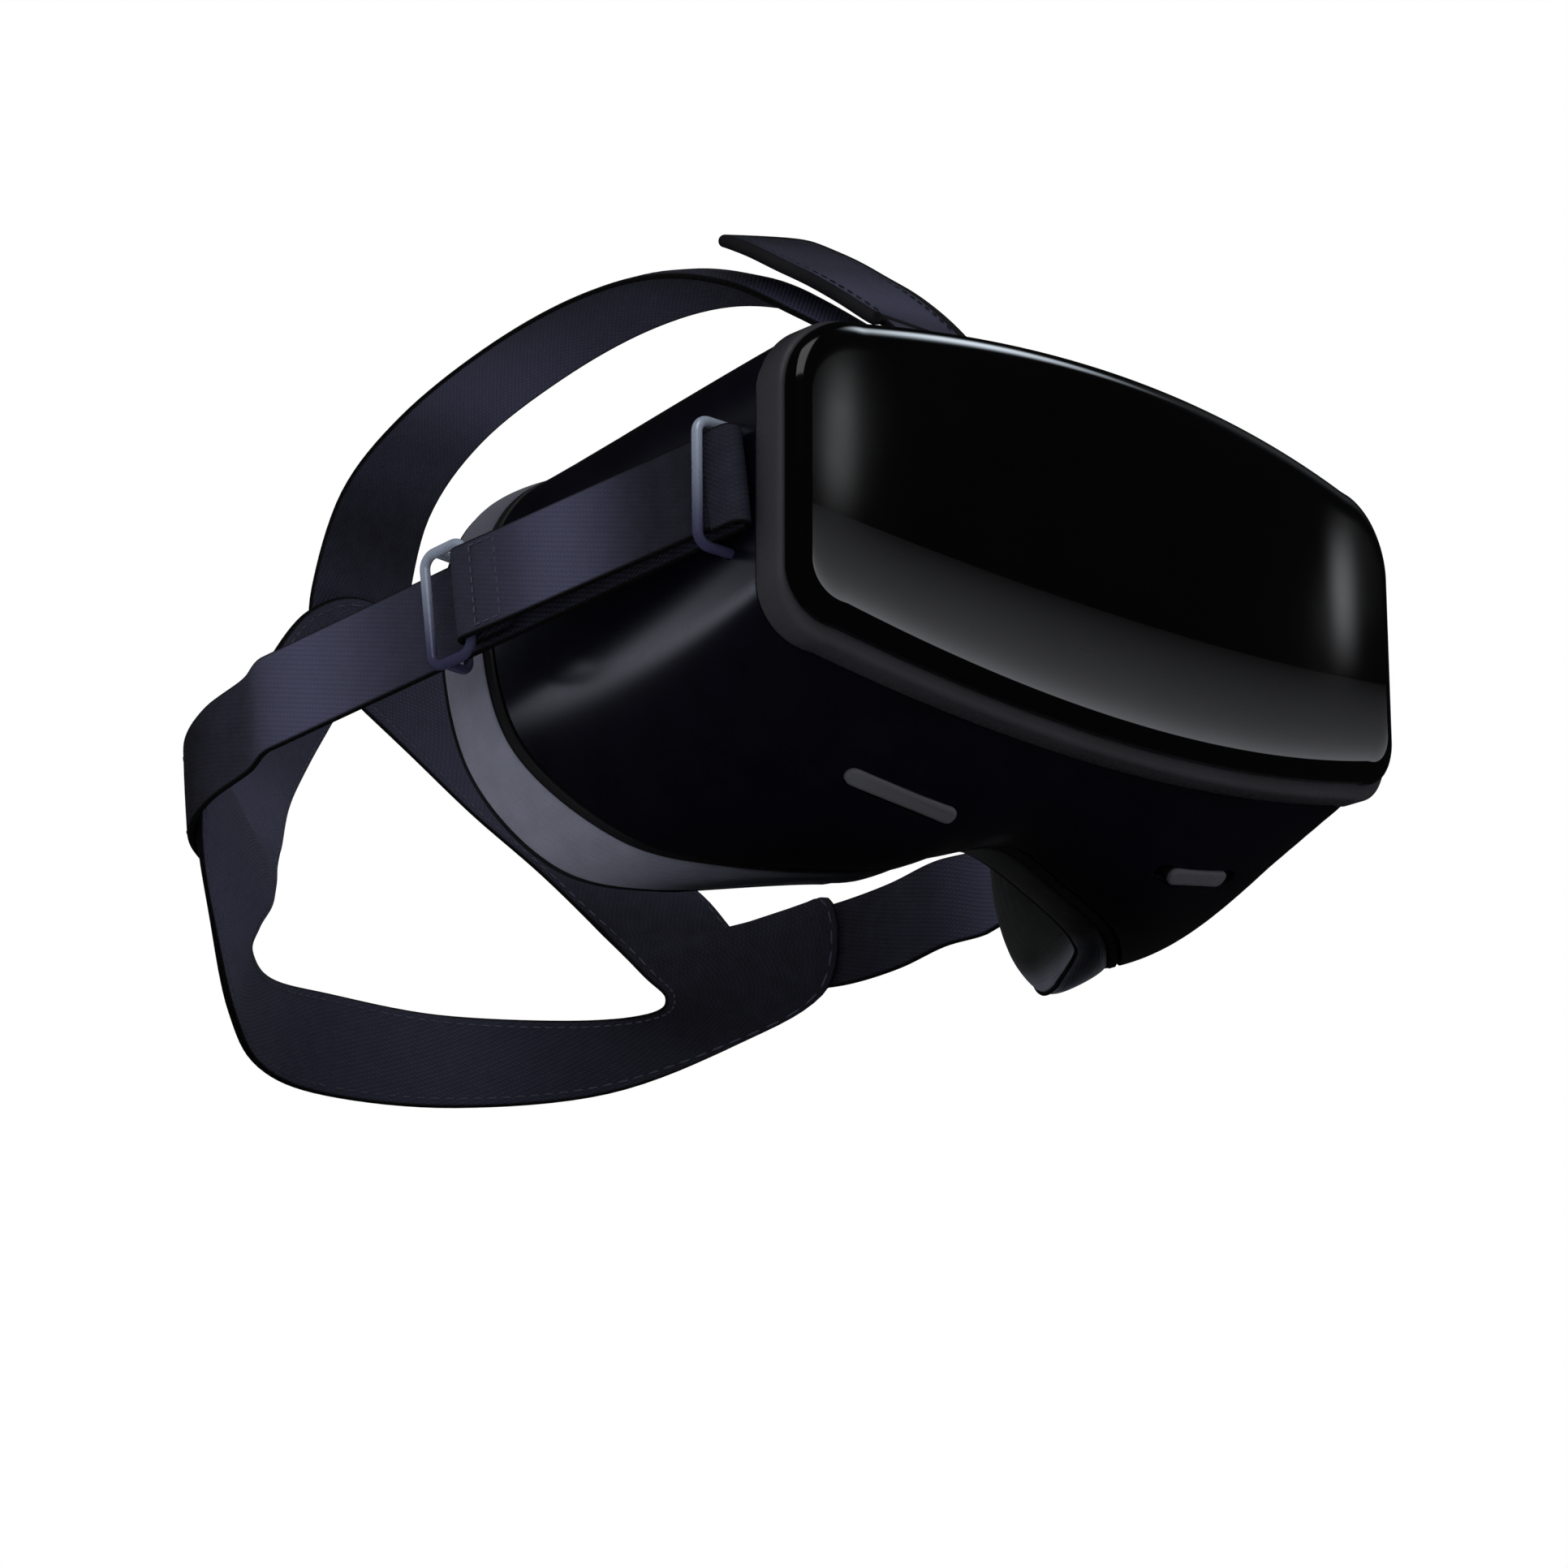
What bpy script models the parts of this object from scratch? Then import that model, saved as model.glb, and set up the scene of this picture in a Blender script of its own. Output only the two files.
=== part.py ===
"""VR headset with a webbing harness, modelled in Blender 4.5.

The wearer looks along -Y, +X is the wearer's left and +Z is up.
Sizes are in millimetres while a shape is drawn, and new_object turns them into metres.
The drawing's zero is the middle of the visor; settle_on_origin then stands the finished
object on Z = 0, centred in X and Y.
"""
import math

import bmesh
import bpy
from mathutils import Matrix, Vector

MM = 0.001
GAP = 0.3

# Visor outline in the X-Z plane.
VISOR_HALF_WIDTH = 91.0
VISOR_TOP = 31.3
VISOR_TOP_RISE = 9.4
VISOR_BOTTOM = 30.0
VISOR_BOTTOM_RISE = 12.5
VISOR_TOP_RADIUS = 17.0
VISOR_BOTTOM_RADIUS = 12.0
VISOR_BULGE = 7.7
VISOR_COLUMNS = 36
GLASS_THICKNESS = 1.2
GLASS_DOME = 2.6
GLASS_ROUNDING = 5.0
FRAME_DEPTH = 7.5
FRAME_PROUD_SIDE = 1.0
FRAME_PROUD_TOP = 0.8
FRAME_PROUD_BOTTOM = 3.0
FRAME_BAND = 5.0

# Housing and face interface.
WALL = 2.5
HOUSING_SECTIONS = (0.0, 0.12, 0.28, 0.5, 0.75, 1.0)
STATION_STEPS = 4
FACE_FRAME_THICKNESS = 2.5
FACE_FRAME_WIDTH = 9.0
SEAT_GAP = 0.8
CUSHION_WIDTH = 12.0
REST_LEVEL = -68.8

# Optics.
EYE_SPACING = 63.0
BARREL_RADIUS = 22.0
BARREL_WALL = 1.8
BARREL_FRONT = 17.0
BARREL_REAR = 43.0
IPD_TRAVEL = 4.0
RACK_MODULE = 0.8
PINION_TEETH = 10
PINION_RADIUS = RACK_MODULE * PINION_TEETH / 2
PINION_Z = -28.5
PINION_Y = 21.0
RACK_TEETH = 10
RACK_END = 13.0
TOOTH_ROOT = 0.9
TOOTH_TIP = 0.6
TOOTH_FOOT_SHARE = 0.20
TOOTH_TIP_SHARE = 0.10

# Straps.
WEB_THICKNESS = 1.5
SIDE_WEB_HALF = 11.4
TOP_WEB_HALF = 13.0
LAYER_OFFSET = 2.15
WIRE_RADIUS = 1.15
STRAP_START = Vector((95.0, 12.5, -0.6))
STRAP_DIRECTION = Vector((11.3, 90.0, -12.2)).normalized()
SIDES = (("right", -1), ("left", 1))

# Controls and port.
SLOT_HALF = 2.0
SLOT_GAP = 0.35
BAR_PROUD = 0.9
BAR_DEPTH = 4.0
ROCKER_X = -44.3
ROCKER_LENGTH = 26.8
SLIDER_X = 44.5
SLIDER_LENGTH = 21.6
BUTTON_SPOT = (-58.0, 34.0)
BUTTON_RADIUS = 5.0
BUTTON_RISE = 1.3
BUTTON_STEM = 3.2
PORT_SPOT = (24.0, -24.0)
PORT_HALF = (4.5, 1.6)
PORT_WALL = 0.4
PORT_REACH = (80.0, 90.6)

# Inner parts: front and rear faces in Y, and places in the X-Z plane.
CHASSIS = (10.2, 12.2)
CHASSIS_SHRINK = 6.0
SHROUD = (32.0, 34.0)
SHROUD_SHRINK = 7.0
SCREW_SPOTS = ((-76, -24), (76, -24), (-76, 24), (76, 24))
SCREW_END = 21.0
SCREW_RADIUS = 1.1
SCREW_HEAD = 2.3
PILOT_RADIUS = 1.4
POST_RADIUS = 3.2
BOARD = ((-74, 3.2, -22), (2, 4.8, 24))
CELL = ((6, 3.2, -23), (72, 8.0, 23))
SPREADER = ((-40, 5.1, -18), (-4, 6.4, 18))
FAN_SPOT = (-58.0, 2.0)
FAN_BLADES = 9
FAN_HUB = 3.6
FAN_PROFILE = ((13.5, 5.1), (13.5, 8.2), (11.6, 8.2), (11.6, 5.9), (2.2, 5.9), (2.2, 5.1))
DISPLAY_HALF = 18.0
DISPLAY_DEPTH = (14.2, 16.4)
LENS_SEAT_DEPTH = 6.0
AXLE_RADIUS = 1.0
PINION_BORE = 1.3

# Harness.
STRAP_STRAIGHT = 140.0
BUCKLE_FRONT = 73.0
BUCKLE_REAR = 84.5
BUCKLE_OFFSET = 2.9
HEM_RADIUS = WIRE_RADIUS + GAP + WEB_THICKNESS / 2
RING_Y = 17.5
RING_ROOT = 84.5
FOLD_PIN_RADIUS = 1.0
WIRE_BEND = 3.0
CRADLE_THICKNESS = 2.0
FLAP_HINGE = (55.0, 70.0)
ANCHOR_HALF = 19.0
SHARP_ANGLE = math.radians(35)

# Each housing station: share of the way round the visor outline from bottom centre to
# top centre, housing rear edge point, cushion rear edge point.
STATIONS = (
    (0.000, (0, 29, -57), (0, 47, -54)),
    (0.075, (19, 31, -62), (23, 48, -60)),
    (0.150, (35, 33, -68), (38, 48, -69.5)),
    (0.240, (57, 52, -67), (58, 74, -69.5)),
    (0.320, (73, 70, -60), (73, 95, -63)),
    (0.395, (86, 90, -38), (84, 112, -40)),
    (0.480, (89, 98, -10), (88, 118, -10)),
    (0.600, (87, 97, 14), (86, 116, 14)),
    (0.720, (75, 90, 27), (75, 108, 27)),
    (0.860, (42, 79, 34), (42, 96, 35)),
    (1.000, (0, 72, 36), (0, 88, 38)),
)

# Edge pairs of the cradle's left half (outer edge, edge of the opening), nape to apex.
CRADLE_HALF = (
    ((0, 270, -67.5), (0, 271, -41)),
    ((30, 257, -68.0), (26, 260, -44)),
    ((58, 231, -64.5), (49, 237, -46)),
    ((81, 208, -52), (60, 219, -46)),
    ((97, 192, -37.5), (61, 213, -43)),
    ((97, 192, -14.5), (57, 217, -37)),
    ((85, 206, -26), (49, 226, -24)),
    ((76, 216, -13), (39, 237, -9)),
    ((60, 230, 6), (26, 248, 6)),
    ((41, 244, 30), (13, 257, 21)),
    ((19, 257, 52), (4, 263, 31)),
    ((0, 260, 60), (0, 264, 34)),
)

# Top strap stations: y, z, half width, from the cradle's apex to the housing.
TOP_STRAP = (
    (264, 60, 16), (252, 83, 14), (230, 97, 13), (198, 105, 13), (165, 108, 13),
    (135, 105, 13), (108, 95, 13), (84, 80, 13), (60, 64, 13), (44, 54, 13), (34.5, 49, 13),
    (33, 44, 13),
)

# Returned layer of the top strap: y, z, from the housing's slot to the flap.
TOP_RETURN = ((35.5, 53.2), (40.0, 56.5), (46.5, 62.0), (53.0, 68.4))

# Flap stations: y, z, half width, thickness.
TOP_FLAP = (
    (55, 70, 14, 2.2), (65, 79, 15, 2.4), (75, 87, 16, 3.0), (85, 94, 16.5, 3.4),
    (95, 101, 16.5, 3.4), (104, 106.6, 15.5, 3.4), (109.5, 109.8, 12, 2.8),
)

COLOURS = {
    "glass": ((0.004, 0.004, 0.005), 0.08, 0.0),
    "trim": ((0.016, 0.015, 0.020), 0.45, 0.0),
    "shell": ((0.004, 0.004, 0.010), 0.38, 0.0),
    "slot_bar": ((0.034, 0.034, 0.044), 0.45, 0.0),
    "cushion": ((0.070, 0.070, 0.095), 0.85, 0.0),
    "liner": ((0.006, 0.007, 0.008), 0.8, 0.0),
    "web": ((0.022, 0.020, 0.048), 0.75, 0.0),
    "wire": ((0.16, 0.20, 0.28), 0.25, 1.0),
    "plastic": ((0.012, 0.012, 0.014), 0.5, 0.0),
    "lens": ((0.55, 0.60, 0.66), 0.03, 0.0),
    "display": ((0.010, 0.012, 0.018), 0.15, 0.0),
    "board": ((0.012, 0.075, 0.035), 0.55, 0.0),
    "copper": ((0.55, 0.27, 0.14), 0.35, 1.0),
    "steel": ((0.45, 0.46, 0.48), 0.3, 1.0),
    "magnesium": ((0.30, 0.31, 0.32), 0.5, 1.0),
    "pouch": ((0.23, 0.24, 0.26), 0.35, 0.6),
    "acetal": ((0.70, 0.69, 0.66), 0.5, 0.0),
}


# ---------------------------------------------------------------- helpers

def clear_scene():
    for item in list(bpy.data.objects):
        bpy.data.objects.remove(item, do_unlink=True)


def material(kind):
    found = bpy.data.materials.get(kind)
    if found:
        return found
    colour, roughness, metallic = COLOURS[kind]
    made = bpy.data.materials.new(kind)
    made.use_nodes = True
    shader = made.node_tree.nodes["Principled BSDF"]
    shader.inputs["Base Color"].default_value = (*colour, 1.0)
    shader.inputs["Roughness"].default_value = roughness
    shader.inputs["Metallic"].default_value = metallic
    return made


def new_object(name, work, kind, pivot=(0, 0, 0), smooth=True):
    """Make an object from a bmesh drawn in millimetres, with its origin at pivot."""
    bmesh.ops.recalc_face_normals(work, faces=work.faces)
    centre = Vector(pivot)
    bmesh.ops.translate(work, verts=work.verts, vec=-centre)
    bmesh.ops.scale(work, verts=work.verts, vec=(MM, MM, MM))
    mesh = bpy.data.meshes.new(name)
    work.to_mesh(mesh)
    work.free()
    if smooth:
        mesh.shade_smooth()
        mesh.set_sharp_from_angle(angle=SHARP_ANGLE)
    made = bpy.data.objects.new(name, mesh)
    made.location = centre * MM
    made.data.materials.append(material(kind))
    bpy.context.scene.collection.objects.link(made)
    return made


def add_rings(work, rings, closed=False, cap="fan"):
    """Bridge rings of equal length; closed joins the last ring to the first."""
    rows = [[work.verts.new(point) for point in ring] for ring in rings]
    count = len(rows[0])
    pairs = list(zip(rows, rows[1:]))
    if closed:
        pairs.append((rows[-1], rows[0]))
    for row, following in pairs:
        for i in range(count):
            j = (i + 1) % count
            work.faces.new((row[i], row[j], following[j], following[i]))
    if closed:
        bmesh.ops.triangulate(work, faces=work.faces, quad_method="FIXED")
        return
    for row in (rows[0], rows[-1]):
        if cap == "columns":
            half = count // 2
            for i in range(half - 1):
                work.faces.new((row[i], row[i + 1], row[count - 2 - i], row[count - 1 - i]))
        else:
            work.faces.new(row)


def ring_object(name, rings, kind, closed=False, cap="fan", pivot=(0, 0, 0)):
    work = bmesh.new()
    add_rings(work, rings, closed, cap)
    return new_object(name, work, kind, pivot)


def box(name, low, high, kind, pivot=(0, 0, 0)):
    work = bmesh.new()
    bmesh.ops.create_cube(work, size=1.0)
    size = Vector(high) - Vector(low)
    bmesh.ops.scale(work, verts=work.verts, vec=size)
    bmesh.ops.translate(work, verts=work.verts, vec=(Vector(high) + Vector(low)) / 2)
    return new_object(name, work, kind, pivot, smooth=False)


def disc_rings(start, end, radius, segments):
    """Two circles round the line from start to end."""
    start, end = Vector(start), Vector(end)
    turn = (end - start).to_track_quat("Z", "Y").to_matrix()
    rings = []
    for centre in (start, end):
        ring = []
        for i in range(segments):
            angle = 2 * math.pi * i / segments
            ring.append(centre + turn @ Vector((math.cos(angle), math.sin(angle), 0)) * radius)
        rings.append(ring)
    return rings


def cylinder(name, start, end, radius, kind, segments=24, pivot=(0, 0, 0)):
    return ring_object(name, disc_rings(start, end, radius, segments), kind, pivot=pivot)


def turned(name, centre, profile, kind, segments=32, closed=False, pivot=(0, 0, 0)):
    """Turn a (radius, y) profile round an axis along Y through centre."""
    rings = []
    for radius, y in profile:
        ring = []
        for i in range(segments):
            angle = 2 * math.pi * i / segments
            offset = Vector((radius * math.cos(angle), y, radius * math.sin(angle)))
            ring.append(Vector((centre[0], 0, centre[1])) + offset)
        rings.append(ring)
    return ring_object(name, rings, kind, closed=closed, pivot=pivot)


def combine(target, tool, operation):
    """Apply a Boolean of tool to target, then remove the tool."""
    bpy.context.view_layer.update()
    step = target.modifiers.new("combine", "BOOLEAN")
    step.operation = operation
    step.object = tool
    step.solver = "EXACT"
    graph = bpy.context.evaluated_depsgraph_get()
    result = bpy.data.meshes.new_from_object(target.evaluated_get(graph))
    result.set_sharp_from_angle(angle=SHARP_ANGLE)
    target.modifiers.clear()
    target.data = result
    bpy.data.objects.remove(tool, do_unlink=True)


def cut(target, *tools):
    for tool in tools:
        combine(target, tool, "DIFFERENCE")


def join(target, *tools):
    for tool in tools:
        combine(target, tool, "UNION")


def tube_rings(path, radius, segments=10, closed=False):
    """Circles along a path, turned with the path and never twisted about it."""
    points = [Vector(point) for point in path]
    count = len(points)
    rings = []
    normal = None
    for i, point in enumerate(points):
        before = points[i - 1] if closed or i else points[0]
        after = points[(i + 1) % count] if closed or i < count - 1 else points[-1]
        tangent = (after - before).normalized()
        if normal is None:
            normal = tangent.orthogonal().normalized()
        normal = (normal - tangent * normal.dot(tangent)).normalized()
        side = tangent.cross(normal)
        ring = []
        for k in range(segments):
            angle = 2 * math.pi * k / segments
            ring.append(point + (normal * math.cos(angle) + side * math.sin(angle)) * radius)
        rings.append(ring)
    return rings


def rounded_path(corners, radius, closed, steps=4):
    """Replace each corner of a path by an arc of points."""
    points = [Vector(corner) for corner in corners]
    count = len(points)
    path = []
    for i, corner in enumerate(points):
        if not closed and i in (0, count - 1):
            path.append(corner)
            continue
        back = (points[i - 1] - corner).normalized()
        ahead = (points[(i + 1) % count] - corner).normalized()
        for k in range(steps + 1):
            t = k / steps
            first = corner + back * radius * (1 - t)
            second = corner + ahead * radius * t
            path.append(first.lerp(second, t))
    return path


def spline(four, t):
    """Catmull-Rom value between the middle two of four points."""
    a, b, c, d = four
    return 0.5 * (2 * b + (c - a) * t + (2 * a - 5 * b + 4 * c - d) * t ** 2
                  + (3 * b - a - 3 * c + d) * t ** 3)


def smooth_path(points, steps):
    """Smooth curve through the points, with straight ends."""
    ends = [2 * Vector(points[0]) - Vector(points[1])]
    ends += [Vector(point) for point in points]
    ends.append(2 * Vector(points[-1]) - Vector(points[-2]))
    path = []
    for i in range(1, len(ends) - 2):
        for k in range(steps):
            path.append(spline(ends[i - 1:i + 3], k / steps))
    path.append(ends[-2])
    return path


def closed_path(points, steps):
    """Smooth curve through a closed loop of points."""
    count = len(points)
    path = []
    for i in range(count):
        four = [Vector(points[(i + k) % count]) for k in (-1, 0, 1, 2)]
        for k in range(steps):
            path.append(spline(four, k / steps))
    return path


def band(name, edges, thickness, kind, closed=False, pivot=(0, 0, 0)):
    """A strip between pairs of edge points (first, second), thickened outwards."""
    count = len(edges)
    rings = []
    for i, (first, second) in enumerate(edges):
        before = edges[i - 1] if closed or i else edges[0]
        after = edges[(i + 1) % count] if closed or i < count - 1 else edges[-1]
        along = (after[0] + after[1]) - (before[0] + before[1])
        normal = along.cross(second - first).normalized() * thickness / 2
        rings.append((first - normal, second - normal, second + normal, first + normal))
    return ring_object(name, rings, kind, closed=closed, pivot=pivot)


def flipped(points, side):
    return [Vector((point[0] * side, point[1], point[2])) for point in points]


# ---------------------------------------------------------------- visor

def visor_bulge(x):
    return -VISOR_BULGE * (1 - (x / VISOR_HALF_WIDTH) ** 2)


def visor_columns(side=0.0, top=0.0, bottom=0.0):
    """Columns (x, lower z, upper z) of the visor outline grown by the three amounts."""
    half = VISOR_HALF_WIDTH + side
    high = VISOR_TOP + top
    low = VISOR_BOTTOM + bottom
    columns = []
    for i in range(VISOR_COLUMNS + 1):
        x = half * math.sin(math.pi * (i / VISOR_COLUMNS - 0.5))
        upper = edge_height(x, half, high, VISOR_TOP_RISE, VISOR_TOP_RADIUS + side)
        lower = edge_height(x, half, low, VISOR_BOTTOM_RISE, VISOR_BOTTOM_RADIUS + side)
        columns.append((x, -lower, upper))
    return columns


def edge_height(x, half, height, rise, radius):
    """Height of the outline at x: a shallow arch that ends in round corners."""
    corner = half - radius
    across = min(abs(x), corner)
    arch = height + rise * (1 - (across / half) ** 2)
    beyond = min(abs(x) - across, radius)
    return arch - radius + math.sqrt(max(radius ** 2 - beyond ** 2, 0.0))


def column_ring(columns, depth):
    """Ring of points at y = bulge + depth, lower edge first."""
    lower = [Vector((x, visor_bulge(x) + depth, low)) for x, low, high in columns]
    upper = [Vector((x, visor_bulge(x) + depth, high)) for x, low, high in columns]
    return lower + upper[::-1]


def front_visor():
    rim = visor_columns()
    inset = 0.3 * GLASS_ROUNDING
    shoulder = visor_columns(-inset, -inset, -inset)
    face = visor_columns(-GLASS_ROUNDING, -GLASS_ROUNDING, -GLASS_ROUNDING)
    rings = (column_ring(rim, GLASS_THICKNESS), column_ring(rim, 0.0),
             column_ring(shoulder, -GLASS_DOME * 0.6), column_ring(face, -GLASS_DOME))
    ring_object("front_visor", rings, "glass", cap="columns")


def visor_frame():
    outer = visor_columns(FRAME_PROUD_SIDE, FRAME_PROUD_TOP, FRAME_PROUD_BOTTOM)
    inner = visor_columns(-FRAME_BAND, -FRAME_BAND, -FRAME_BAND)
    front = GLASS_THICKNESS + GAP
    back = GLASS_THICKNESS + FRAME_DEPTH
    chamfer = 0.8
    lip = visor_columns(FRAME_PROUD_SIDE - chamfer, FRAME_PROUD_TOP - chamfer,
                        FRAME_PROUD_BOTTOM - chamfer)
    rings = (column_ring(outer, front + chamfer), column_ring(outer, back),
             column_ring(inner, back), column_ring(inner, front), column_ring(lip, front))
    ring_object("visor_frame", rings, "trim", closed=True)


# ---------------------------------------------------------------- housing

def outline_half():
    """Right half of the housing's front outline, bottom centre to top centre."""
    columns = visor_columns(FRAME_PROUD_SIDE - 0.6, FRAME_PROUD_TOP - 0.6,
                            FRAME_PROUD_BOTTOM - 0.6)
    half = [column for column in columns if column[0] >= -1e-6]
    lower = [Vector((x, 0, low)) for x, low, high in half]
    upper = [Vector((x, 0, high)) for x, low, high in half]
    return lower + upper[::-1]


def point_at(line, share):
    """Point at a share of the length of a line of points."""
    lengths = [(b - a).length for a, b in zip(line, line[1:])]
    left = share * sum(lengths)
    for a, b, length in zip(line, line[1:], lengths):
        if left <= length:
            return a.lerp(b, left / length)
        left -= length
    return line[-1].copy()


def station_curve(values):
    """Smooth values through the stations, mirrored over the middle at both ends."""
    def mirrored(value):
        return Vector((-value[0], value[1], value[2]))
    points = [Vector(value) for value in values]
    ends = [mirrored(points[1])] + points + [mirrored(points[-2])]
    curve = []
    for i in range(1, len(ends) - 2):
        for k in range(STATION_STEPS):
            curve.append(spline(ends[i - 1:i + 3], k / STATION_STEPS))
    curve.append(ends[-2])
    return curve


def whole_ring(half):
    """Close a half ring with its mirror image."""
    other = [Vector((-point[0], point[1], point[2])) for point in half[-2:0:-1]]
    return list(half) + other


def station_shares():
    shares = [station[0] for station in STATIONS]
    fine = []
    for low, high in zip(shares, shares[1:]):
        for k in range(STATION_STEPS):
            fine.append(low + (high - low) * k / STATION_STEPS)
    return fine + [1.0]


def housing_ring(progress):
    """Cross-section of the housing, from the visor frame (0) to the rear edge (1)."""
    front = [point_at(OUTLINE, share) for share in station_shares()]
    half = []
    for start, end in zip(front, REAR_EDGE):
        depth = visor_bulge(start.x) + GLASS_THICKNESS + FRAME_DEPTH + GAP
        low = min(max((10.0 - start.z) / 40.0, 0.0), 1.0)
        chin = 1 - (1 - progress) ** 2.2
        drop = progress ** 1.1 * (1 - low) + chin * low
        spread = progress ** 1.3 * (1 - low) + progress * low
        half.append(Vector((start.x + (end.x - start.x) * spread,
                            depth + (end.y - depth) * progress,
                            start.z + (end.z - start.z) * drop)))
    return whole_ring(half)


def inset_ring(ring, distance):
    """Move a ring towards its inside, square to its run in the X-Z plane."""
    count = len(ring)
    moved = []
    for i, point in enumerate(ring):
        run = ring[(i + 1) % count] - ring[i - 1]
        inward = Vector((-run.z, 0, run.x)).normalized()
        moved.append(point + inward * distance)
    return moved


def shifted(ring, distance):
    return [point + Vector((0, distance, 0)) for point in ring]


OUTLINE = outline_half()
REAR_EDGE = station_curve([station[1] for station in STATIONS])
CUSHION_EDGE = station_curve([station[2] for station in STATIONS])


def main_housing():
    outer = [housing_ring(progress) for progress in HOUSING_SECTIONS]
    inner = [inset_ring(ring, WALL) for ring in outer[::-1]]
    return ring_object("main_housing", outer + inner, "shell", closed=True)


def face_frame():
    rear = whole_ring(REAR_EDGE)
    front = shifted(rear, SEAT_GAP)
    back = shifted(rear, SEAT_GAP + FACE_FRAME_THICKNESS)
    rings = (front, back,
             inset_ring(back, FACE_FRAME_WIDTH), inset_ring(front, FACE_FRAME_WIDTH))
    ring_object("face_frame", rings, "plastic", closed=True)


def face_cushion():
    start = shifted(whole_ring(REAR_EDGE), SEAT_GAP + FACE_FRAME_THICKNESS + GAP)
    end = whole_ring(CUSHION_EDGE)
    middle = [a.lerp(b, 0.75) for a, b in zip(start, end)]
    rings = (inset_ring(start, FACE_FRAME_WIDTH), inset_ring(middle, CUSHION_WIDTH),
             inset_ring(end, CUSHION_WIDTH - 3.0), inset_ring(end, 2.5), middle, start)
    cushion = ring_object("face_cushion", rings, "cushion", closed=True)
    cut(cushion, box("floor", (-110, -20, REST_LEVEL - 20), (110, 200, REST_LEVEL), "cushion"))


def chin_point(x):
    """Point and outward normal on the slanted chin at x, where the slots lie."""
    rings = [housing_ring(progress) for progress in (0.28, 0.34, 0.40)]
    rows = []
    for ring in rings:
        side = [point for point in ring[:len(ring) // 2] if point.z < -30]
        side.sort(key=lambda point: abs(point.x - abs(x)))
        rows.append(side[0])
    slope = rows[2] - rows[0]
    normal = Vector((0, slope.z, -slope.y)).normalized()
    return Vector((x, rows[1].y, rows[1].z)), normal


# ---------------------------------------------------------------- controls

def slot_bar(name, x, length, kind):
    """A rounded bar through the chin wall; returns its middle and the chin's normal."""
    point, normal = chin_point(x)
    top = point + normal * BAR_PROUD
    foot = point - normal * BAR_DEPTH
    stadium(name, top, foot, length, SLOT_HALF, kind, pivot=point)
    return point, normal


def stadium(name, top, foot, length, half, kind, pivot=(0, 0, 0)):
    """Bar of stadium outline, long in X, between two parallel ends."""
    rings = []
    normal = (top - foot).normalized()
    across = normal.cross(Vector((1, 0, 0)))
    for centre in (foot, top):
        ring = []
        for end in (1, -1):
            for k in range(7):
                angle = math.pi * (k / 6 - 0.5)
                along = end * (length / 2 - half + half * math.cos(angle))
                rise = end * half * math.sin(angle)
                ring.append(centre + Vector((along, 0, 0)) + across * rise)
        rings.append(ring)
    return ring_object(name, rings, kind, pivot=pivot)


def chin_controls(housing):
    """Volume rocker on the wearer's right and spacing slider on the left."""
    for name, x, length, travel in (("volume_rocker", ROCKER_X, ROCKER_LENGTH, 0.0),
                                    ("ipd_slider", SLIDER_X, SLIDER_LENGTH, IPD_TRAVEL)):
        point, normal = slot_bar(name, x, length, "slot_bar")
        slot = stadium("slot", point + normal * 8, point - normal * 8,
                       length + 2 * travel + 2 * SLOT_GAP, SLOT_HALF + SLOT_GAP, "shell")
        cut(housing, slot)


def power_button(housing):
    x, y = BUTTON_SPOT
    top = housing_top(x, y)
    cylinder("power_button", (x, y, top - BUTTON_STEM), (x, y, top + BUTTON_RISE),
             BUTTON_RADIUS, "slot_bar", pivot=(x, y, top))
    hole = cylinder("hole", (x, y, top - 9), (x, y, top + 9), BUTTON_RADIUS + GAP, "shell")
    cut(housing, hole)


def housing_top(x, y):
    """Height of the housing's upper wall near x and y."""
    best = None
    for k in range(41):
        for point in housing_ring(k / 40):
            if point.z > 0:
                off = abs(point.x - x) + abs(point.y - y)
                if best is None or off < best[0]:
                    best = (off, point.z)
    return best[1]


def usb_port(housing):
    """Metal shell of the charging port, open towards the wearer's left."""
    back, face = PORT_REACH
    port = port_box("usb_port", back, face, 0.0, "steel")
    cut(port, port_box("mouth", back + 4, face + 9, -PORT_WALL, "steel"))
    cut(housing, port_box("hole", back - 2, face + 9, GAP, "shell"))


def port_box(name, near, far, grow, kind):
    y, z = PORT_SPOT
    half_y, half_z = PORT_HALF[0] + grow, PORT_HALF[1] + grow
    return box(name, (near, y - half_y, z - half_z), (far, y + half_y, z + half_z), kind)


# ---------------------------------------------------------------- inside

def plate_rings(shrink, front, back):
    """Flat plate with the visor's outline, made smaller all round."""
    columns = visor_columns(-shrink, -shrink, -shrink)
    rings = []
    for y in (front, back):
        lower = [Vector((x, y, low)) for x, low, high in columns]
        upper = [Vector((x, y, high)) for x, low, high in columns]
        rings.append(lower + upper[::-1])
    return rings


def chassis_plate():
    plate = ring_object("chassis_plate", plate_rings(CHASSIS_SHRINK, *CHASSIS), "magnesium",
                        cap="columns")
    for x, z in SCREW_SPOTS:
        start, end = (x, CHASSIS[0] - 2, z), (x, CHASSIS[1] + 2, z)
        cut(plate, cylinder("hole", start, end, PILOT_RADIUS, "steel"))


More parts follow.
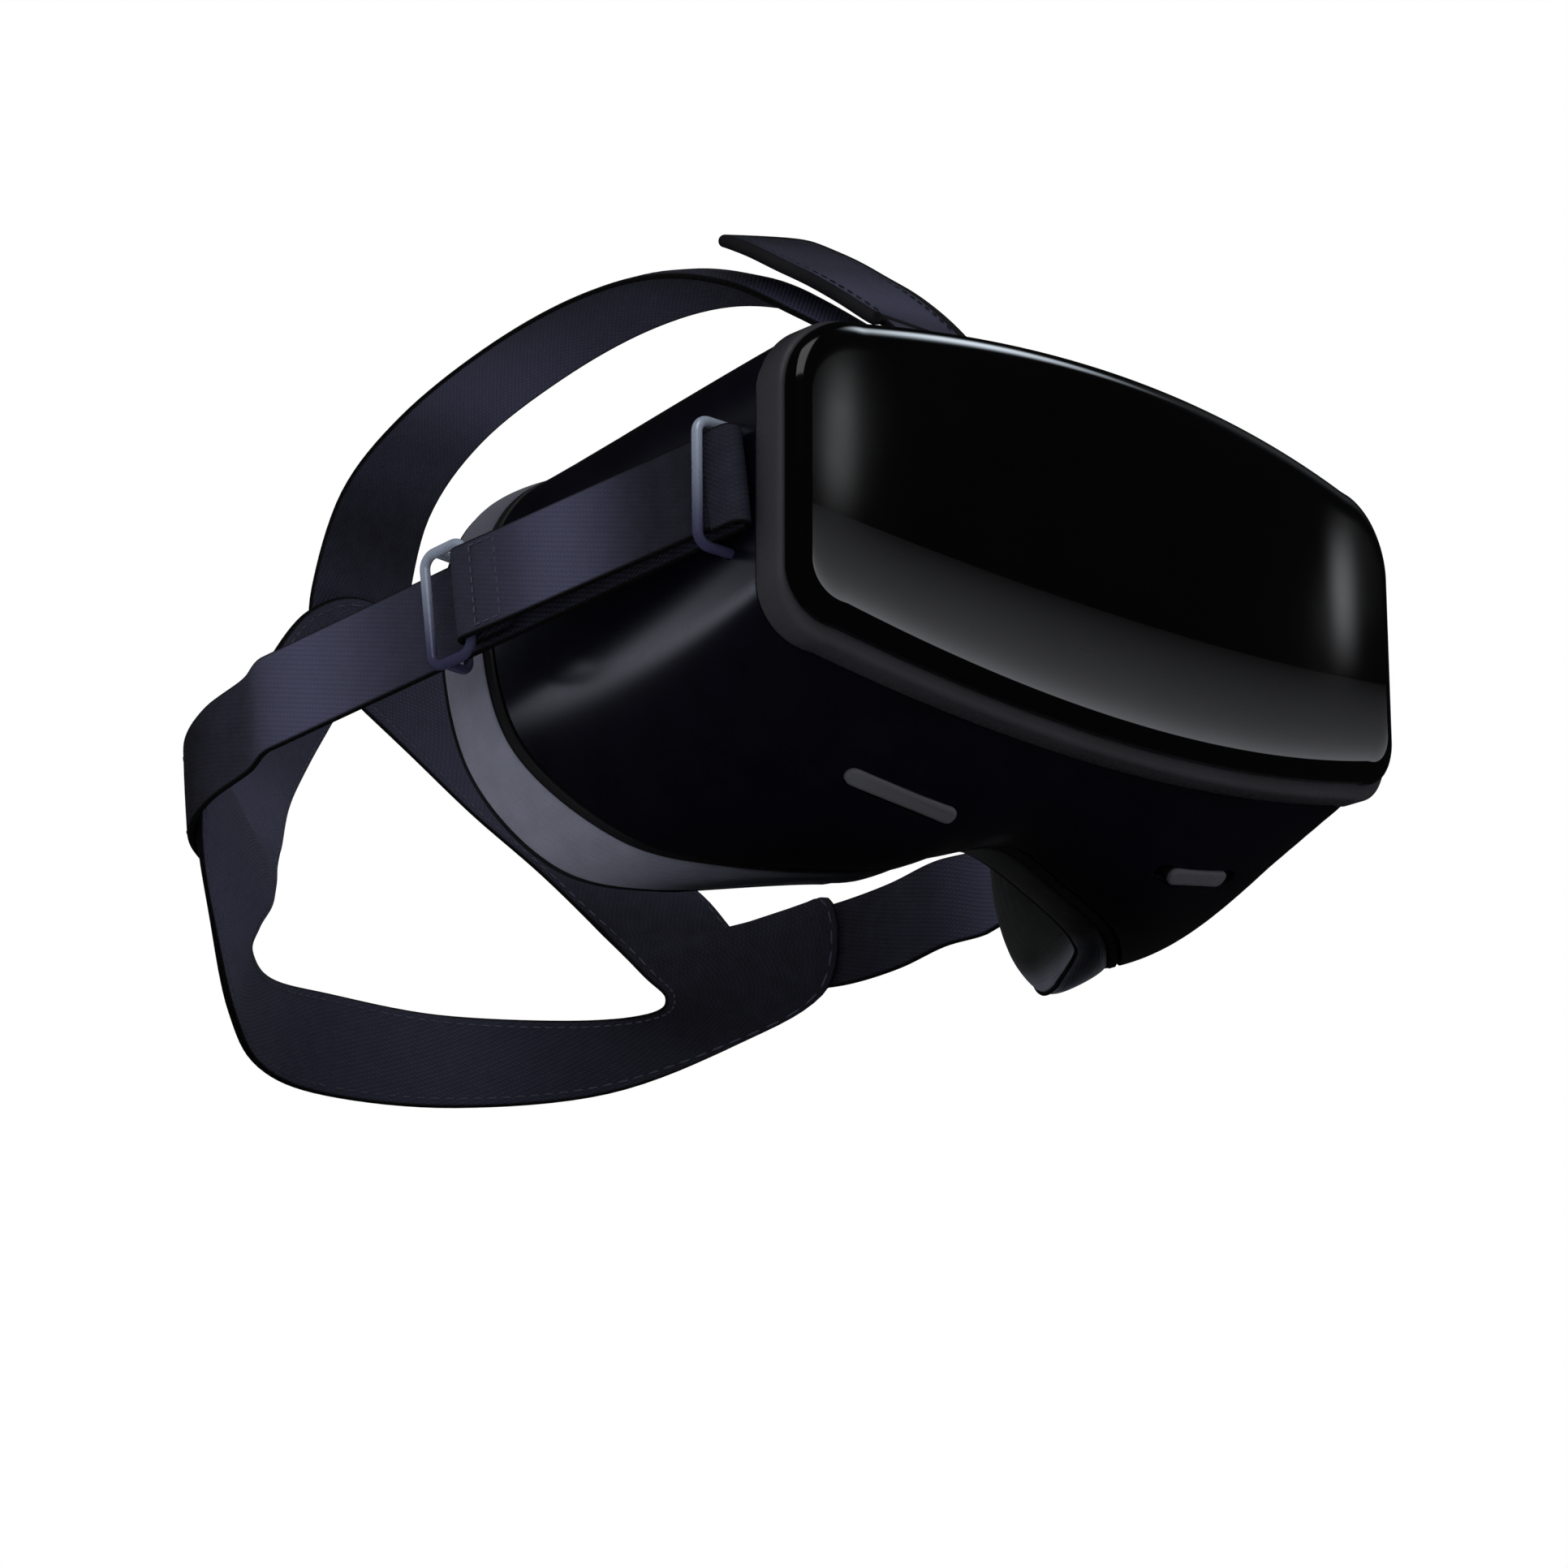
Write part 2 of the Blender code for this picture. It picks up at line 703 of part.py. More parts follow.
def lens_shroud():
    """Black bezel round the lenses, on four posts that take the chassis screws."""
    shroud = ring_object("lens_shroud", plate_rings(SHROUD_SHRINK, *SHROUD), "liner",
                         cap="columns")
    for x, z in SCREW_SPOTS:
        start, end = (x, CHASSIS[1] + GAP, z), (x, SHROUD[0] + 0.5, z)
        join(shroud, cylinder("post", start, end, POST_RADIUS, "liner", 16))
    clearance = 1.0
    half = BARREL_RADIUS + clearance
    for sign in (-1, 1):
        x = sign * EYE_SPACING / 2
        top, foot = Vector((x, SHROUD[1] + 3, 0)), Vector((x, SHROUD[0] - 3, 0))
        cut(shroud, stadium("opening", top, foot, 2 * (half + IPD_TRAVEL), half, "liner"))
    for x, z in SCREW_SPOTS:
        start, end = (x, CHASSIS[0], z), (x, SCREW_END + 1, z)
        cut(shroud, cylinder("pilot", start, end, PILOT_RADIUS, "liner", 16))


def screws():
    for number, (x, z) in enumerate(SCREW_SPOTS, 1):
        seat = CHASSIS[0] - GAP
        profile = ((SCREW_RADIUS, SCREW_END), (SCREW_RADIUS, seat), (SCREW_HEAD, seat),
                   (SCREW_HEAD, seat - 0.9), (SCREW_HEAD - 0.7, seat - 1.5))
        turned(f"chassis_screw_{number}", (x, z), profile, "steel", 12)


def electronics():
    box("mainboard", *BOARD, "board")
    box("battery", *CELL, "pouch")
    box("heat_spreader", *SPREADER, "copper")
    turned("fan_housing", FAN_SPOT, FAN_PROFILE, "plastic", 32, closed=True)
    fan_rotor(*FAN_SPOT)


def fan_rotor(x, z):
    """Hub with curved blades that fit inside the fan housing."""
    front, back = 6.2, 8.2
    rotor = turned("fan_rotor", (x, z), ((FAN_HUB, front), (FAN_HUB, back)), "plastic", 18,
                   pivot=(x, front, z))
    for k in range(FAN_BLADES):
        rings = blade_rings(x, z, 2 * math.pi * k / FAN_BLADES, front + 0.1, back - 0.2)
        join(rotor, ring_object("blade", rings, "plastic", pivot=(x, front, z)))


def blade_rings(x, z, angle, front, back):
    """Cross-sections of one fan blade, from inside the hub to its swept tip."""
    steps = 4
    length = 8.0
    sweep = 0.48
    half_thickness = 0.35
    rings = []
    for step in range(steps + 1):
        radius = FAN_HUB - 0.6 + length * step / steps
        turn = angle + sweep * step / steps
        out = Vector((math.cos(turn), 0, math.sin(turn)))
        point = Vector((x, 0, z)) + out * radius
        side = Vector((-out.z, 0, out.x)) * half_thickness
        near, far = Vector((0, front, 0)), Vector((0, back, 0))
        rings.append((point - side + near, point + side + near,
                      point + side + far, point - side + far))
    return rings


def speakers():
    """Drivers beside the ears, inside the housing's side walls."""
    for name, sign in SIDES:
        near, far = sorted((sign * 78.0, sign * 84.0))
        box(f"speaker_{name}", (near, 46, -8), (far, 68, 4), "plastic")


def proximity_sensor():
    """Window between the lenses that tells when the headset is worn."""
    box("proximity_sensor", (-5, SHROUD[1] + GAP, 25), (5, SHROUD[1] + 3, 31), "glass")


def carriages():
    for name, sign in SIDES:
        x = sign * EYE_SPACING / 2
        outer, inner = BARREL_RADIUS, BARREL_RADIUS - BARREL_WALL
        step = BARREL_REAR - LENS_SEAT_DEPTH
        profile = ((outer, BARREL_FRONT), (outer, BARREL_REAR), (inner, BARREL_REAR),
                   (inner, step), (inner - 1, step - 0.5), (inner - 1, BARREL_FRONT))
        turned(f"lens_barrel_{name}", (x, 0), profile[::-1], "plastic", 36, closed=True,
               pivot=(x, BARREL_FRONT, 0))
        lens(f"lens_{name}", x, inner - GAP)
        box(f"display_{name}", (x - DISPLAY_HALF, DISPLAY_DEPTH[0], -DISPLAY_HALF),
            (x + DISPLAY_HALF, DISPLAY_DEPTH[1], DISPLAY_HALF), "display")


def lens(name, x, radius):
    """Plano-convex lens seated on the barrel's inner step."""
    seat = BARREL_REAR - LENS_SEAT_DEPTH + GAP
    thickness = 5.5
    sag = 3.2
    centre = 0.02
    profile = []
    for k in range(5):
        share = k / 4
        profile.append((radius * (centre + (1 - centre) * share),
                        seat + thickness - sag * share ** 2))
    profile.append((radius, seat + GAP))
    profile.append((radius - 1.5, seat))
    profile.append((radius * centre, seat))
    turned(name, (x, 0), profile, "lens", 36, pivot=(x, seat, 0))


def spacing_drive():
    """Pinion between two racks, so that both barrels move by the same amount."""
    pitch = math.pi * RACK_MODULE
    pinion(pitch)
    cylinder("pinion_axle", (0, CHASSIS[1] + GAP, PINION_Z), (0, PINION_Y + 3.4, PINION_Z),
             AXLE_RADIUS, "steel", 16)
    reach = EYE_SPACING / 2 + 6
    rack("rack_left", 1, pitch, (-RACK_END, reach))
    rack("rack_right", -1, pitch, (-reach, RACK_END))


def pinion(pitch):
    rings = []
    root, tip = PINION_RADIUS - TOOTH_ROOT, PINION_RADIUS + TOOTH_TIP
    half_tooth = TOOTH_FOOT_SHARE * pitch / PINION_RADIUS
    half_tip = TOOTH_TIP_SHARE * pitch / PINION_RADIUS
    tooth = ((root, -half_tooth), (tip, -half_tip), (tip, half_tip), (root, half_tooth))
    for y in (PINION_Y - 2, PINION_Y + 2):
        ring = []
        for k in range(PINION_TEETH):
            middle = 2 * math.pi * k / PINION_TEETH + math.pi / 2
            for radius, off in tooth:
                angle = middle + off
                ring.append(Vector((radius * math.cos(angle), y,
                                    PINION_Z + radius * math.sin(angle))))
        rings.append(ring)
    gear = ring_object("ipd_pinion", rings, "acetal", pivot=(0, PINION_Y, PINION_Z))
    start, end = (0, PINION_Y - 5, PINION_Z), (0, PINION_Y + 5, PINION_Z)
    cut(gear, cylinder("bore", start, end, PINION_BORE, "acetal", 16))


def rack(name, sign, pitch, reach):
    """Toothed bar; sign 1 runs above the pinion and -1 below it, with an arm to its barrel."""
    low, high = reach
    root = PINION_Z + sign * (PINION_RADIUS + TOOTH_ROOT)
    back = root + sign * 1.2
    corners = [(low, back), (low, root)]
    depth = TOOTH_ROOT + TOOTH_TIP
    tooth = ((-TOOTH_FOOT_SHARE, 0.0), (-TOOTH_TIP_SHARE, depth), (TOOTH_TIP_SHARE, depth),
             (TOOTH_FOOT_SHARE, 0.0))
    for k in range(-RACK_TEETH // 2, RACK_TEETH // 2):
        middle = (k + 0.5) * pitch
        for off, reach_in in tooth:
            corners.append((middle + off * pitch, root - sign * reach_in))
    corners += [(high, root), (high, back)]
    rings = [[Vector((x, y, z)) for x, z in corners] for y in (PINION_Y - 1.8, PINION_Y + 1.8)]
    bar = ring_object(name, rings, "acetal", pivot=(0, PINION_Y, PINION_Z))
    if sign < 0:
        x = -EYE_SPACING / 2
        arm = box("arm", (x - 5, PINION_Y - 1.4, back + 0.2),
                  (x + 5, PINION_Y + 1.4, -BARREL_RADIUS - GAP), "acetal")
        join(bar, arm)


# ---------------------------------------------------------------- side straps

STRAP_OUTWARD = Vector((STRAP_DIRECTION.y, -STRAP_DIRECTION.x, 0)).normalized()
STRAP_UPWARD = STRAP_OUTWARD.cross(STRAP_DIRECTION).normalized()
if STRAP_UPWARD.z < 0:
    STRAP_UPWARD = -STRAP_UPWARD


def strap_point(along, offset, height, sign):
    """Point of a side strap: distance along it, outwards from it and up across it."""
    point = (STRAP_START + STRAP_DIRECTION * along + STRAP_OUTWARD * offset
             + STRAP_UPWARD * height)
    return Vector((point.x * sign, point.y, point.z))


def web_edges(stations, half, sign):
    """Edge pairs of a side strap from (along, offset) stations."""
    return [(strap_point(along, offset, -half, sign), strap_point(along, offset, half, sign))
            for along, offset in stations]


def fold_stations(centre, radius, start_angle, end_angle, steps):
    """Stations round a bend whose axis is upright; angle 90 faces outwards."""
    stations = []
    for k in range(steps + 1):
        angle = math.radians(start_angle + (end_angle - start_angle) * k / steps)
        stations.append((centre[0] + radius * math.cos(angle),
                         centre[1] + radius * math.sin(angle)))
    return stations


def side_straps():
    for name, sign in SIDES:
        fold = fold_stations((0.0, 0.0), LAYER_OFFSET, 90, 270, 8)
        inner = [(3.2, LAYER_OFFSET)] + fold
        inner += [(40.0, -LAYER_OFFSET), (STRAP_STRAIGHT, -LAYER_OFFSET)]
        edges = web_edges(inner, SIDE_WEB_HALF, sign)
        edges += side_strap_tail(sign)
        band(f"side_strap_{name}", edges, WEB_THICKNESS, "web")
        foot = strap_point(0, 0, -SIDE_WEB_HALF + 1, sign)
        top = strap_point(0, 0, SIDE_WEB_HALF - 1, sign)
        cylinder(f"fold_pin_{name}", foot, top, FOLD_PIN_RADIUS, "steel", 12)


def side_strap_tail(sign):
    """Edges of the strap from its straight run to the seam with the rear cradle."""
    middle = [Vector((sign * 106.0, 168.0, -21.6)), Vector((sign * 100.5, 188.0, -25.6))]
    edges = []
    for k, point in enumerate(middle):
        tilt = Vector((0, 0.13, 1.0)).normalized() * (SIDE_WEB_HALF + 0.4 * k)
        edges.append((point - tilt, point + tilt))
    return edges


def outer_layers():
    """Returned layer of each side strap, hemmed round the buckle's front bar."""
    bar = BUCKLE_FRONT
    hem = fold_stations((bar, BUCKLE_OFFSET), HEM_RADIUS, 90, -90, 6)
    stations = [(3.5, LAYER_OFFSET), (12.0, LAYER_OFFSET + 0.3),
                (bar - 12, BUCKLE_OFFSET + HEM_RADIUS - 0.7)]
    stations += hem + [(bar - 10, BUCKLE_OFFSET - HEM_RADIUS + 0.2)]
    for name, sign in SIDES:
        edges = web_edges(stations, SIDE_WEB_HALF - 0.6, sign)
        band(f"outer_strap_{name}", edges, WEB_THICKNESS, "web")


def buckles():
    """Wire frame on each returned layer, with a loop that slides along the inner layer."""
    half = SIDE_WEB_HALF + 0.5 + WIRE_RADIUS
    near, far = BUCKLE_OFFSET, -LAYER_OFFSET - WEB_THICKNESS / 2 - 0.5 - WIRE_RADIUS
    for name, sign in SIDES:
        corners = [strap_point(along, BUCKLE_OFFSET, height, sign) for along, height in
                   ((BUCKLE_FRONT, -half), (BUCKLE_FRONT, half),
                    (BUCKLE_REAR, half), (BUCKLE_REAR, -half))]
        path = rounded_path(corners, WIRE_BEND, True)
        frame = ring_object(f"strap_buckle_{name}", tube_rings(path, WIRE_RADIUS, 10, True),
                            "wire", closed=True)
        keeper = [strap_point(BUCKLE_REAR - 3.5, offset, height, sign) for offset, height in
                  ((near, half), (far, half), (far, -half), (near, -half))]
        path = rounded_path(keeper, WIRE_BEND - 0.5, False)
        join(frame, ring_object("keeper", tube_rings(path, WIRE_RADIUS * 0.93, 10), "wire"))


def strap_rings(housing):
    """Tall wire staple that both strap layers pass through, with its retainer inside."""
    along = (RING_Y - STRAP_START.y) / STRAP_DIRECTION.y
    half = SIDE_WEB_HALF + 1.2 + WIRE_RADIUS
    outer = LAYER_OFFSET + WEB_THICKNESS / 2 + 0.6 + WIRE_RADIUS
    for name, sign in SIDES:
        top = strap_point(along, outer, half, sign)
        foot = strap_point(along, outer, -half, sign)
        corners = [Vector((sign * RING_ROOT, RING_Y, top.z)), Vector((top.x, RING_Y, top.z)),
                   Vector((foot.x, RING_Y, foot.z)), Vector((sign * RING_ROOT, RING_Y, foot.z))]
        path = rounded_path(corners, WIRE_BEND, False, 5)
        ring_object(f"strap_ring_{name}", tube_rings(path, WIRE_RADIUS, 10), "wire")
        near, far = sorted((sign * (RING_ROOT + 0.3), sign * (RING_ROOT + 2.8)))
        plate = box(f"ring_retainer_{name}", (near, RING_Y - 4, foot.z - 4),
                    (far, RING_Y + 4, top.z + 4), "steel")
        for z in (top.z, foot.z):
            reach = (Vector((sign * 80, RING_Y, z)), Vector((sign * 99, RING_Y, z)))
            cut(plate, cylinder("hole", *reach, WIRE_RADIUS + GAP, "steel", 16))
            cut(housing, cylinder("hole", *reach, WIRE_RADIUS + GAP, "shell", 16))


# ---------------------------------------------------------------- harness

def rear_cradle():
    """Closed loop of webbing behind the head: nape band and two branches to the top strap."""
    knots = list(CRADLE_HALF) + [flipped(pair, -1) for pair in CRADLE_HALF[-2:0:-1]]
    outer = closed_path([pair[0] for pair in knots], 3)
    inner = closed_path([pair[1] for pair in knots], 3)
    band("rear_cradle", list(zip(outer, inner)), CRADLE_THICKNESS, "web", closed=True)


def top_strap():
    """Webbing from the cradle's apex over the head to the slot on the housing."""
    middle = smooth_path([(0, y, z) for y, z, half in TOP_STRAP], 3)
    widths = smooth_path([(half, 0, 0) for y, z, half in TOP_STRAP], 3)
    edges = [(point - Vector((width.x, 0, 0)), point + Vector((width.x, 0, 0)))
             for point, width in zip(middle, widths)]
    band("top_strap", edges, WEB_THICKNESS, "web")
    half = Vector((TOP_WEB_HALF, 0, 0))
    edges = [(Vector((0, y, z)) - half, Vector((0, y, z)) + half) for y, z in TOP_RETURN]
    band("top_strap_return", edges, WEB_THICKNESS, "web")


def top_flap():
    """Free end of the top strap, folded back over itself, which peels up."""
    middle = smooth_path([(0, y, z) for y, z, half, thick in TOP_FLAP], 3)
    sizes = smooth_path([(half, thick, 0) for y, z, half, thick in TOP_FLAP], 3)
    rings = []
    count = len(middle)
    for i, (point, size) in enumerate(zip(middle, sizes)):
        run = middle[min(i + 1, count - 1)] - middle[max(i - 1, 0)]
        normal = Vector((0, -run.z, run.y)).normalized() * size.y / 2
        side = Vector((size.x, 0, 0))
        rings.append((point - side - normal, point + side - normal,
                      point + side + normal, point - side + normal))
    ring_object("top_flap", rings, "web", pivot=(0, *FLAP_HINGE))


def top_anchor():
    """Block on the housing's roof whose slot holds the top strap."""
    y = TOP_STRAP[-1][0]
    roof = housing_top(0, y)
    anchor = box("top_anchor", (-ANCHOR_HALF, y - 4, roof + GAP), (ANCHOR_HALF, y + 4, roof + 5.5),
                 "plastic")
    slot_half = TOP_WEB_HALF + 0.8
    cut(anchor, box("slot", (-slot_half, y - 1.4, roof + 2), (slot_half, y + 1.4, roof + 9),
                    "plastic"))


def settle_on_origin():
    """Stand the whole object on Z = 0, centred on the origin in X and Y."""
    bpy.context.view_layer.update()
    graph = bpy.context.evaluated_depsgraph_get()
    pieces = [item for item in bpy.data.objects if item.type == "MESH" and not item.hide_render]
    corners = []
    for item in pieces:
        shape = item.evaluated_get(graph)
        corners += [shape.matrix_world @ vertex.co for vertex in shape.data.vertices]
    low = Vector([min(corner[axis] for corner in corners) for axis in range(3)])
    high = Vector([max(corner[axis] for corner in corners) for axis in range(3)])
    move = Vector((0.0, -(low.y + high.y) / 2, -low.z))
    for item in pieces:
        item.location += move


def build():
    clear_scene()
    front_visor()
    visor_frame()
    housing = main_housing()
    chin_controls(housing)
    power_button(housing)
    usb_port(housing)
    strap_rings(housing)
    chassis_plate()
    lens_shroud()
    screws()
    electronics()
    speakers()
    proximity_sensor()
    carriages()
    spacing_drive()
    face_frame()
    face_cushion()
    side_straps()
    outer_layers()
    buckles()
    rear_cradle()
    top_strap()
    top_flap()
    top_anchor()
    settle_on_origin()


if __name__ == "__main__":
    build()
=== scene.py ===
"""Looks of a VR headset with a webbing harness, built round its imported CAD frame.

Shapes are drawn in millimetres in the drawing's own frame: zero is the middle of the visor,
the wearer looks along -Y, +X is the wearer's left and +Z is up. place() turns them into
the frame's metres, from the visor's box.
"""

import math

import bmesh
import bpy
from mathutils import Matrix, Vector
from mathutils.bvhtree import BVHTree

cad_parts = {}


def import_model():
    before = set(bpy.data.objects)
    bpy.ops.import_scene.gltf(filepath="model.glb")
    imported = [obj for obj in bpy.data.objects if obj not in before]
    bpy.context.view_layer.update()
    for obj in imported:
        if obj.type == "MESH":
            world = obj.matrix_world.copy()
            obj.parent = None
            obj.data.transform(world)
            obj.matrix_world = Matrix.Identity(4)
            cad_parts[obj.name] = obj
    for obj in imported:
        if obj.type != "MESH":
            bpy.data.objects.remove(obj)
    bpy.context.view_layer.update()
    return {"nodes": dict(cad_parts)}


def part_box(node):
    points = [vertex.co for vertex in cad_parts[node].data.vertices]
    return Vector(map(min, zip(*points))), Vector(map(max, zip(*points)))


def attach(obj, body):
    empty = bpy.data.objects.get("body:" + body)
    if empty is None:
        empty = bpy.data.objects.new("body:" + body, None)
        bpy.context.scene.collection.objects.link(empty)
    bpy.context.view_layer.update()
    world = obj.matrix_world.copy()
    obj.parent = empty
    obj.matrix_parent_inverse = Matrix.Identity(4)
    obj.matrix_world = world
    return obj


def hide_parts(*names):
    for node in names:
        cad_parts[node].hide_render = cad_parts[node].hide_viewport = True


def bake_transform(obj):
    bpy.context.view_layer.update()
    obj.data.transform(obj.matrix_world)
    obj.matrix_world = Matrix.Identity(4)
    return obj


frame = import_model()
NODES = frame["nodes"]
SCENE = bpy.context.scene
MM = 0.001
SIDES = (("right", -1), ("left", 1))

# ---------------------------------------------------------------- sizes, in millimetres

HALF_WIDTH = 91.0
TOP = 31.3
TOP_RISE = 9.4
BOTTOM = 30.0
BOTTOM_RISE = 12.5
TOP_RADIUS = 17.0
BOTTOM_RADIUS = 12.0
BULGE = 7.7
GLASS_THICKNESS = 1.2
GLASS_DOME = 2.6
GLASS_ROUNDING = 3.8
FRAME_DEPTH = 7.5
FRAME_PROUD_SIDE = 1.0
FRAME_PROUD_TOP = 0.8
FRAME_PROUD_BOTTOM = 3.0
GAP = 0.3
WALL = 2.5
SEAT_GAP = 0.8
FACE_FRAME_THICKNESS = 2.5
STATION_STEPS = 12
COLUMNS = 120
TURN_STEPS = 72
LAYER_OFFSET = 2.15
WEB_THICKNESS = 1.5
SIDE_WEB_HALF = 11.4
TOP_WEB_HALF = 13.0
WIRE_RADIUS = 1.15
STRAP_START = Vector((95.0, 12.5, -0.6))
STRAP_DIRECTION = Vector((11.3, 90.0, -12.2)).normalized()
STRAP_STRAIGHT = 140.0
BUCKLE_FRONT = 73.0
BUCKLE_REAR = 84.5
BUCKLE_OFFSET = 2.9
HEM_RADIUS = WIRE_RADIUS + GAP + WEB_THICKNESS / 2
OUTER_WEB_HALF = SIDE_WEB_HALF - 0.6
RING_Y = 17.5
RING_HALF = SIDE_WEB_HALF + 1.2 + WIRE_RADIUS
RING_ALONG = (RING_Y - STRAP_START.y) / STRAP_DIRECTION.y
RING_OFFSET = LAYER_OFFSET + WEB_THICKNESS / 2 + 0.6 + WIRE_RADIUS
CRADLE_THICKNESS = 2.0
FLAP_HINGE = (55.0, 70.0)
FLAP_ROLL = 3.2
EYE = 31.5
CHIN_NORMAL = Vector((0.0, -0.6833, -0.7302))
BAR_PROUD = 0.9
BAR_DEPTH = 4.0
BAR_HALF = 2.0
SLOT_HALF = 2.35
# Chin controls: piece, CAD node, body, length, travel each way.
CONTROLS = (("volume_bar", "volume_rocker", "volume_key", 26.8, 0.0),
            ("spacing_bar", "ipd_slider", "left_carriage", 21.6, 4.0))
BUTTON = (-58.0, 34.0)
BUTTON_HOLE = 5.3
GROUND = -68.8
PUFF_CAP = 1.6
PUFF_FRAMES = 14
CARD_DISTANCE = 0.6
CAMERA_AZIMUTH = math.radians(-42.16)
CAMERA_ELEVATION = math.radians(-17.38)
CAMERA_DISTANCE = 1.0569
CAMERA_LENS = 121.51
CAMERA_AIM = Vector((-0.0921, 0.0, -0.06872))
WORLD_DIFFUSE = 1.0
WORLD_GLOSSY = 0.008

# Share of the way round the visor outline, housing rear edge, cushion rear edge.
STATIONS = (
    (0.000, (0, 29, -57), (0, 47, -54)),
    (0.075, (19, 31, -62), (23, 48, -60)),
    (0.150, (35, 33, -68), (38, 48, -69.5)),
    (0.240, (57, 52, -67), (58, 74, -69.5)),
    (0.320, (73, 70, -60), (73, 95, -63)),
    (0.395, (86, 90, -38), (84, 112, -40)),
    (0.480, (89, 98, -10), (88, 118, -10)),
    (0.600, (87, 97, 14), (86, 116, 14)),
    (0.720, (75, 90, 27), (75, 108, 27)),
    (0.860, (42, 79, 34), (42, 96, 35)),
    (1.000, (0, 72, 36), (0, 88, 38)),
)

# Cradle's left half, nape to apex: outer edge, edge of the opening.
CRADLE_HALF = (
    ((0, 270, -67.5), (0, 271, -41)),
    ((30, 257, -68.0), (26, 260, -44)),
    ((58, 231, -64.5), (49, 237, -46)),
    ((81, 208, -52), (60, 219, -46)),
    ((97, 192, -37.5), (61, 213, -43)),
    ((97, 192, -14.5), (57, 217, -37)),
    ((85, 206, -26), (49, 226, -24)),
    ((76, 216, -13), (39, 237, -9)),
    ((60, 230, 6), (26, 248, 6)),
    ((41, 244, 30), (13, 257, 21)),
    ((19, 257, 52), (4, 263, 31)),
    ((0, 260, 60), (0, 264, 34)),
)

# Top strap: y, z, half width, from the cradle's apex to the slot on the housing.
TOP_STRAP = (
    (264.4, 44, 13), (262.1, 59.5, 15), (252, 83, 14), (230, 97, 13), (198, 105, 13), (165, 108, 13),
    (135, 105, 13), (108, 95, 13), (84, 80, 13), (60, 64, 13), (44, 54, 13),
    (34.5, 49, 13), (33, 44, 13),
)
# How far the top strap's middle stands above its selvedges, along the strap.
TOP_BOW = ((0.0, 0.0), (0.12, 0.0), (0.42, 3.6), (0.72, 4.2), (0.97, 0.0), (1.0, 0.0))
TOP_RETURN = ((34.6, 46.0), (34.9, 50.6), (36.4, 54.0), (40.0, 56.5), (46.5, 62.0), (53.9, 69.1))
TOP_FLAP = (
    (55, 70, 14, 2.2), (65, 79, 15, 2.4), (75, 87, 16, 3.0), (85, 94, 16.5, 3.4),
    (95, 101, 16.5, 3.4), (104, 106.6, 15.5, 3.4), (109.5, 109.8, 12, 2.8),
)

visor_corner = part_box("front_visor")[1]
ZERO = Vector((0.0, visor_corner.y - GLASS_THICKNESS * MM, visor_corner.z - (TOP + TOP_RISE) * MM))


def place(point):
    return Vector(point) * MM + ZERO


# ---------------------------------------------------------------- materials

class Nodes:
    """Short ways to add nodes to a tree and link them."""

    def __init__(self, owner, clear=False):
        owner.use_nodes = True
        self.tree = owner.node_tree
        if clear:
            self.tree.nodes.clear()

    def feed(self, socket, thing):
        if isinstance(thing, bpy.types.NodeSocket):
            self.tree.links.new(thing, socket)
        elif thing is not None:
            if hasattr(thing, "__len__") and len(thing) == 3 and len(socket.default_value) == 4:
                thing = (*thing, 1.0)
            socket.default_value = thing

    def node(self, kind, inputs=(), **settings):
        made = self.tree.nodes.new(kind)
        for key, value in settings.items():
            setattr(made, key, value)
        for key, thing in dict(inputs).items():
            self.feed(made.inputs[key], thing)
        return made

    def maths(self, operation, first, second=None, clamp=False):
        made = self.node("ShaderNodeMath", {0: first}, operation=operation, use_clamp=clamp)
        if second is not None:
            self.feed(made.inputs[1], second)
        return made.outputs[0]

    def mix(self, share, first, second):
        made = self.node("ShaderNodeMix", data_type="RGBA")
        self.feed(made.inputs["Factor"], share)
        self.feed(made.inputs[6], first)
        self.feed(made.inputs[7], second)
        return made.outputs[2]

    def step(self, thing, low, high, out_low=0.0, out_high=1.0):
        made = self.node("ShaderNodeMapRange", {"Value": thing, "From Min": low, "From Max": high,
                                                "To Min": out_low, "To Max": out_high},
                         interpolation_type="SMOOTHSTEP")
        return made.outputs["Result"]

    def attribute(self, name):
        return self.node("ShaderNodeAttribute", attribute_name=name).outputs["Fac"]

    def noise(self, scale, detail=3.0, stretch=None):
        vector = self.node("ShaderNodeTexCoord").outputs["Object"]
        if stretch:
            vector = self.node("ShaderNodeMapping", {"Vector": vector, "Scale": stretch}).outputs[0]
        made = self.node("ShaderNodeTexNoise", {"Vector": vector, "Scale": scale, "Detail": detail})
        return made.outputs["Fac"]

    def wave(self, thing, length):
        """Sine of a distance, one period for each length."""
        return self.maths("SINE", self.maths("MULTIPLY", thing, 2 * math.pi / length))


class Net(Nodes):
    """The nodes of a material round its Principled BSDF."""

    def __init__(self, name, roughness=0.5, metallic=0.0):
        self.material = bpy.data.materials.new(name)
        super().__init__(self.material)
        self.shader = self.tree.nodes["Principled BSDF"]
        self.set(Roughness=roughness, Metallic=metallic)

    def bump(self, height, strength, distance):
        made = self.node("ShaderNodeBump", {"Height": height, "Strength": strength,
                                            "Distance": distance})
        self.feed(self.shader.inputs["Normal"], made.outputs[0])

    def set(self, **values):
        for key, thing in values.items():
            self.feed(self.shader.inputs[key.replace("_", " ")], thing)


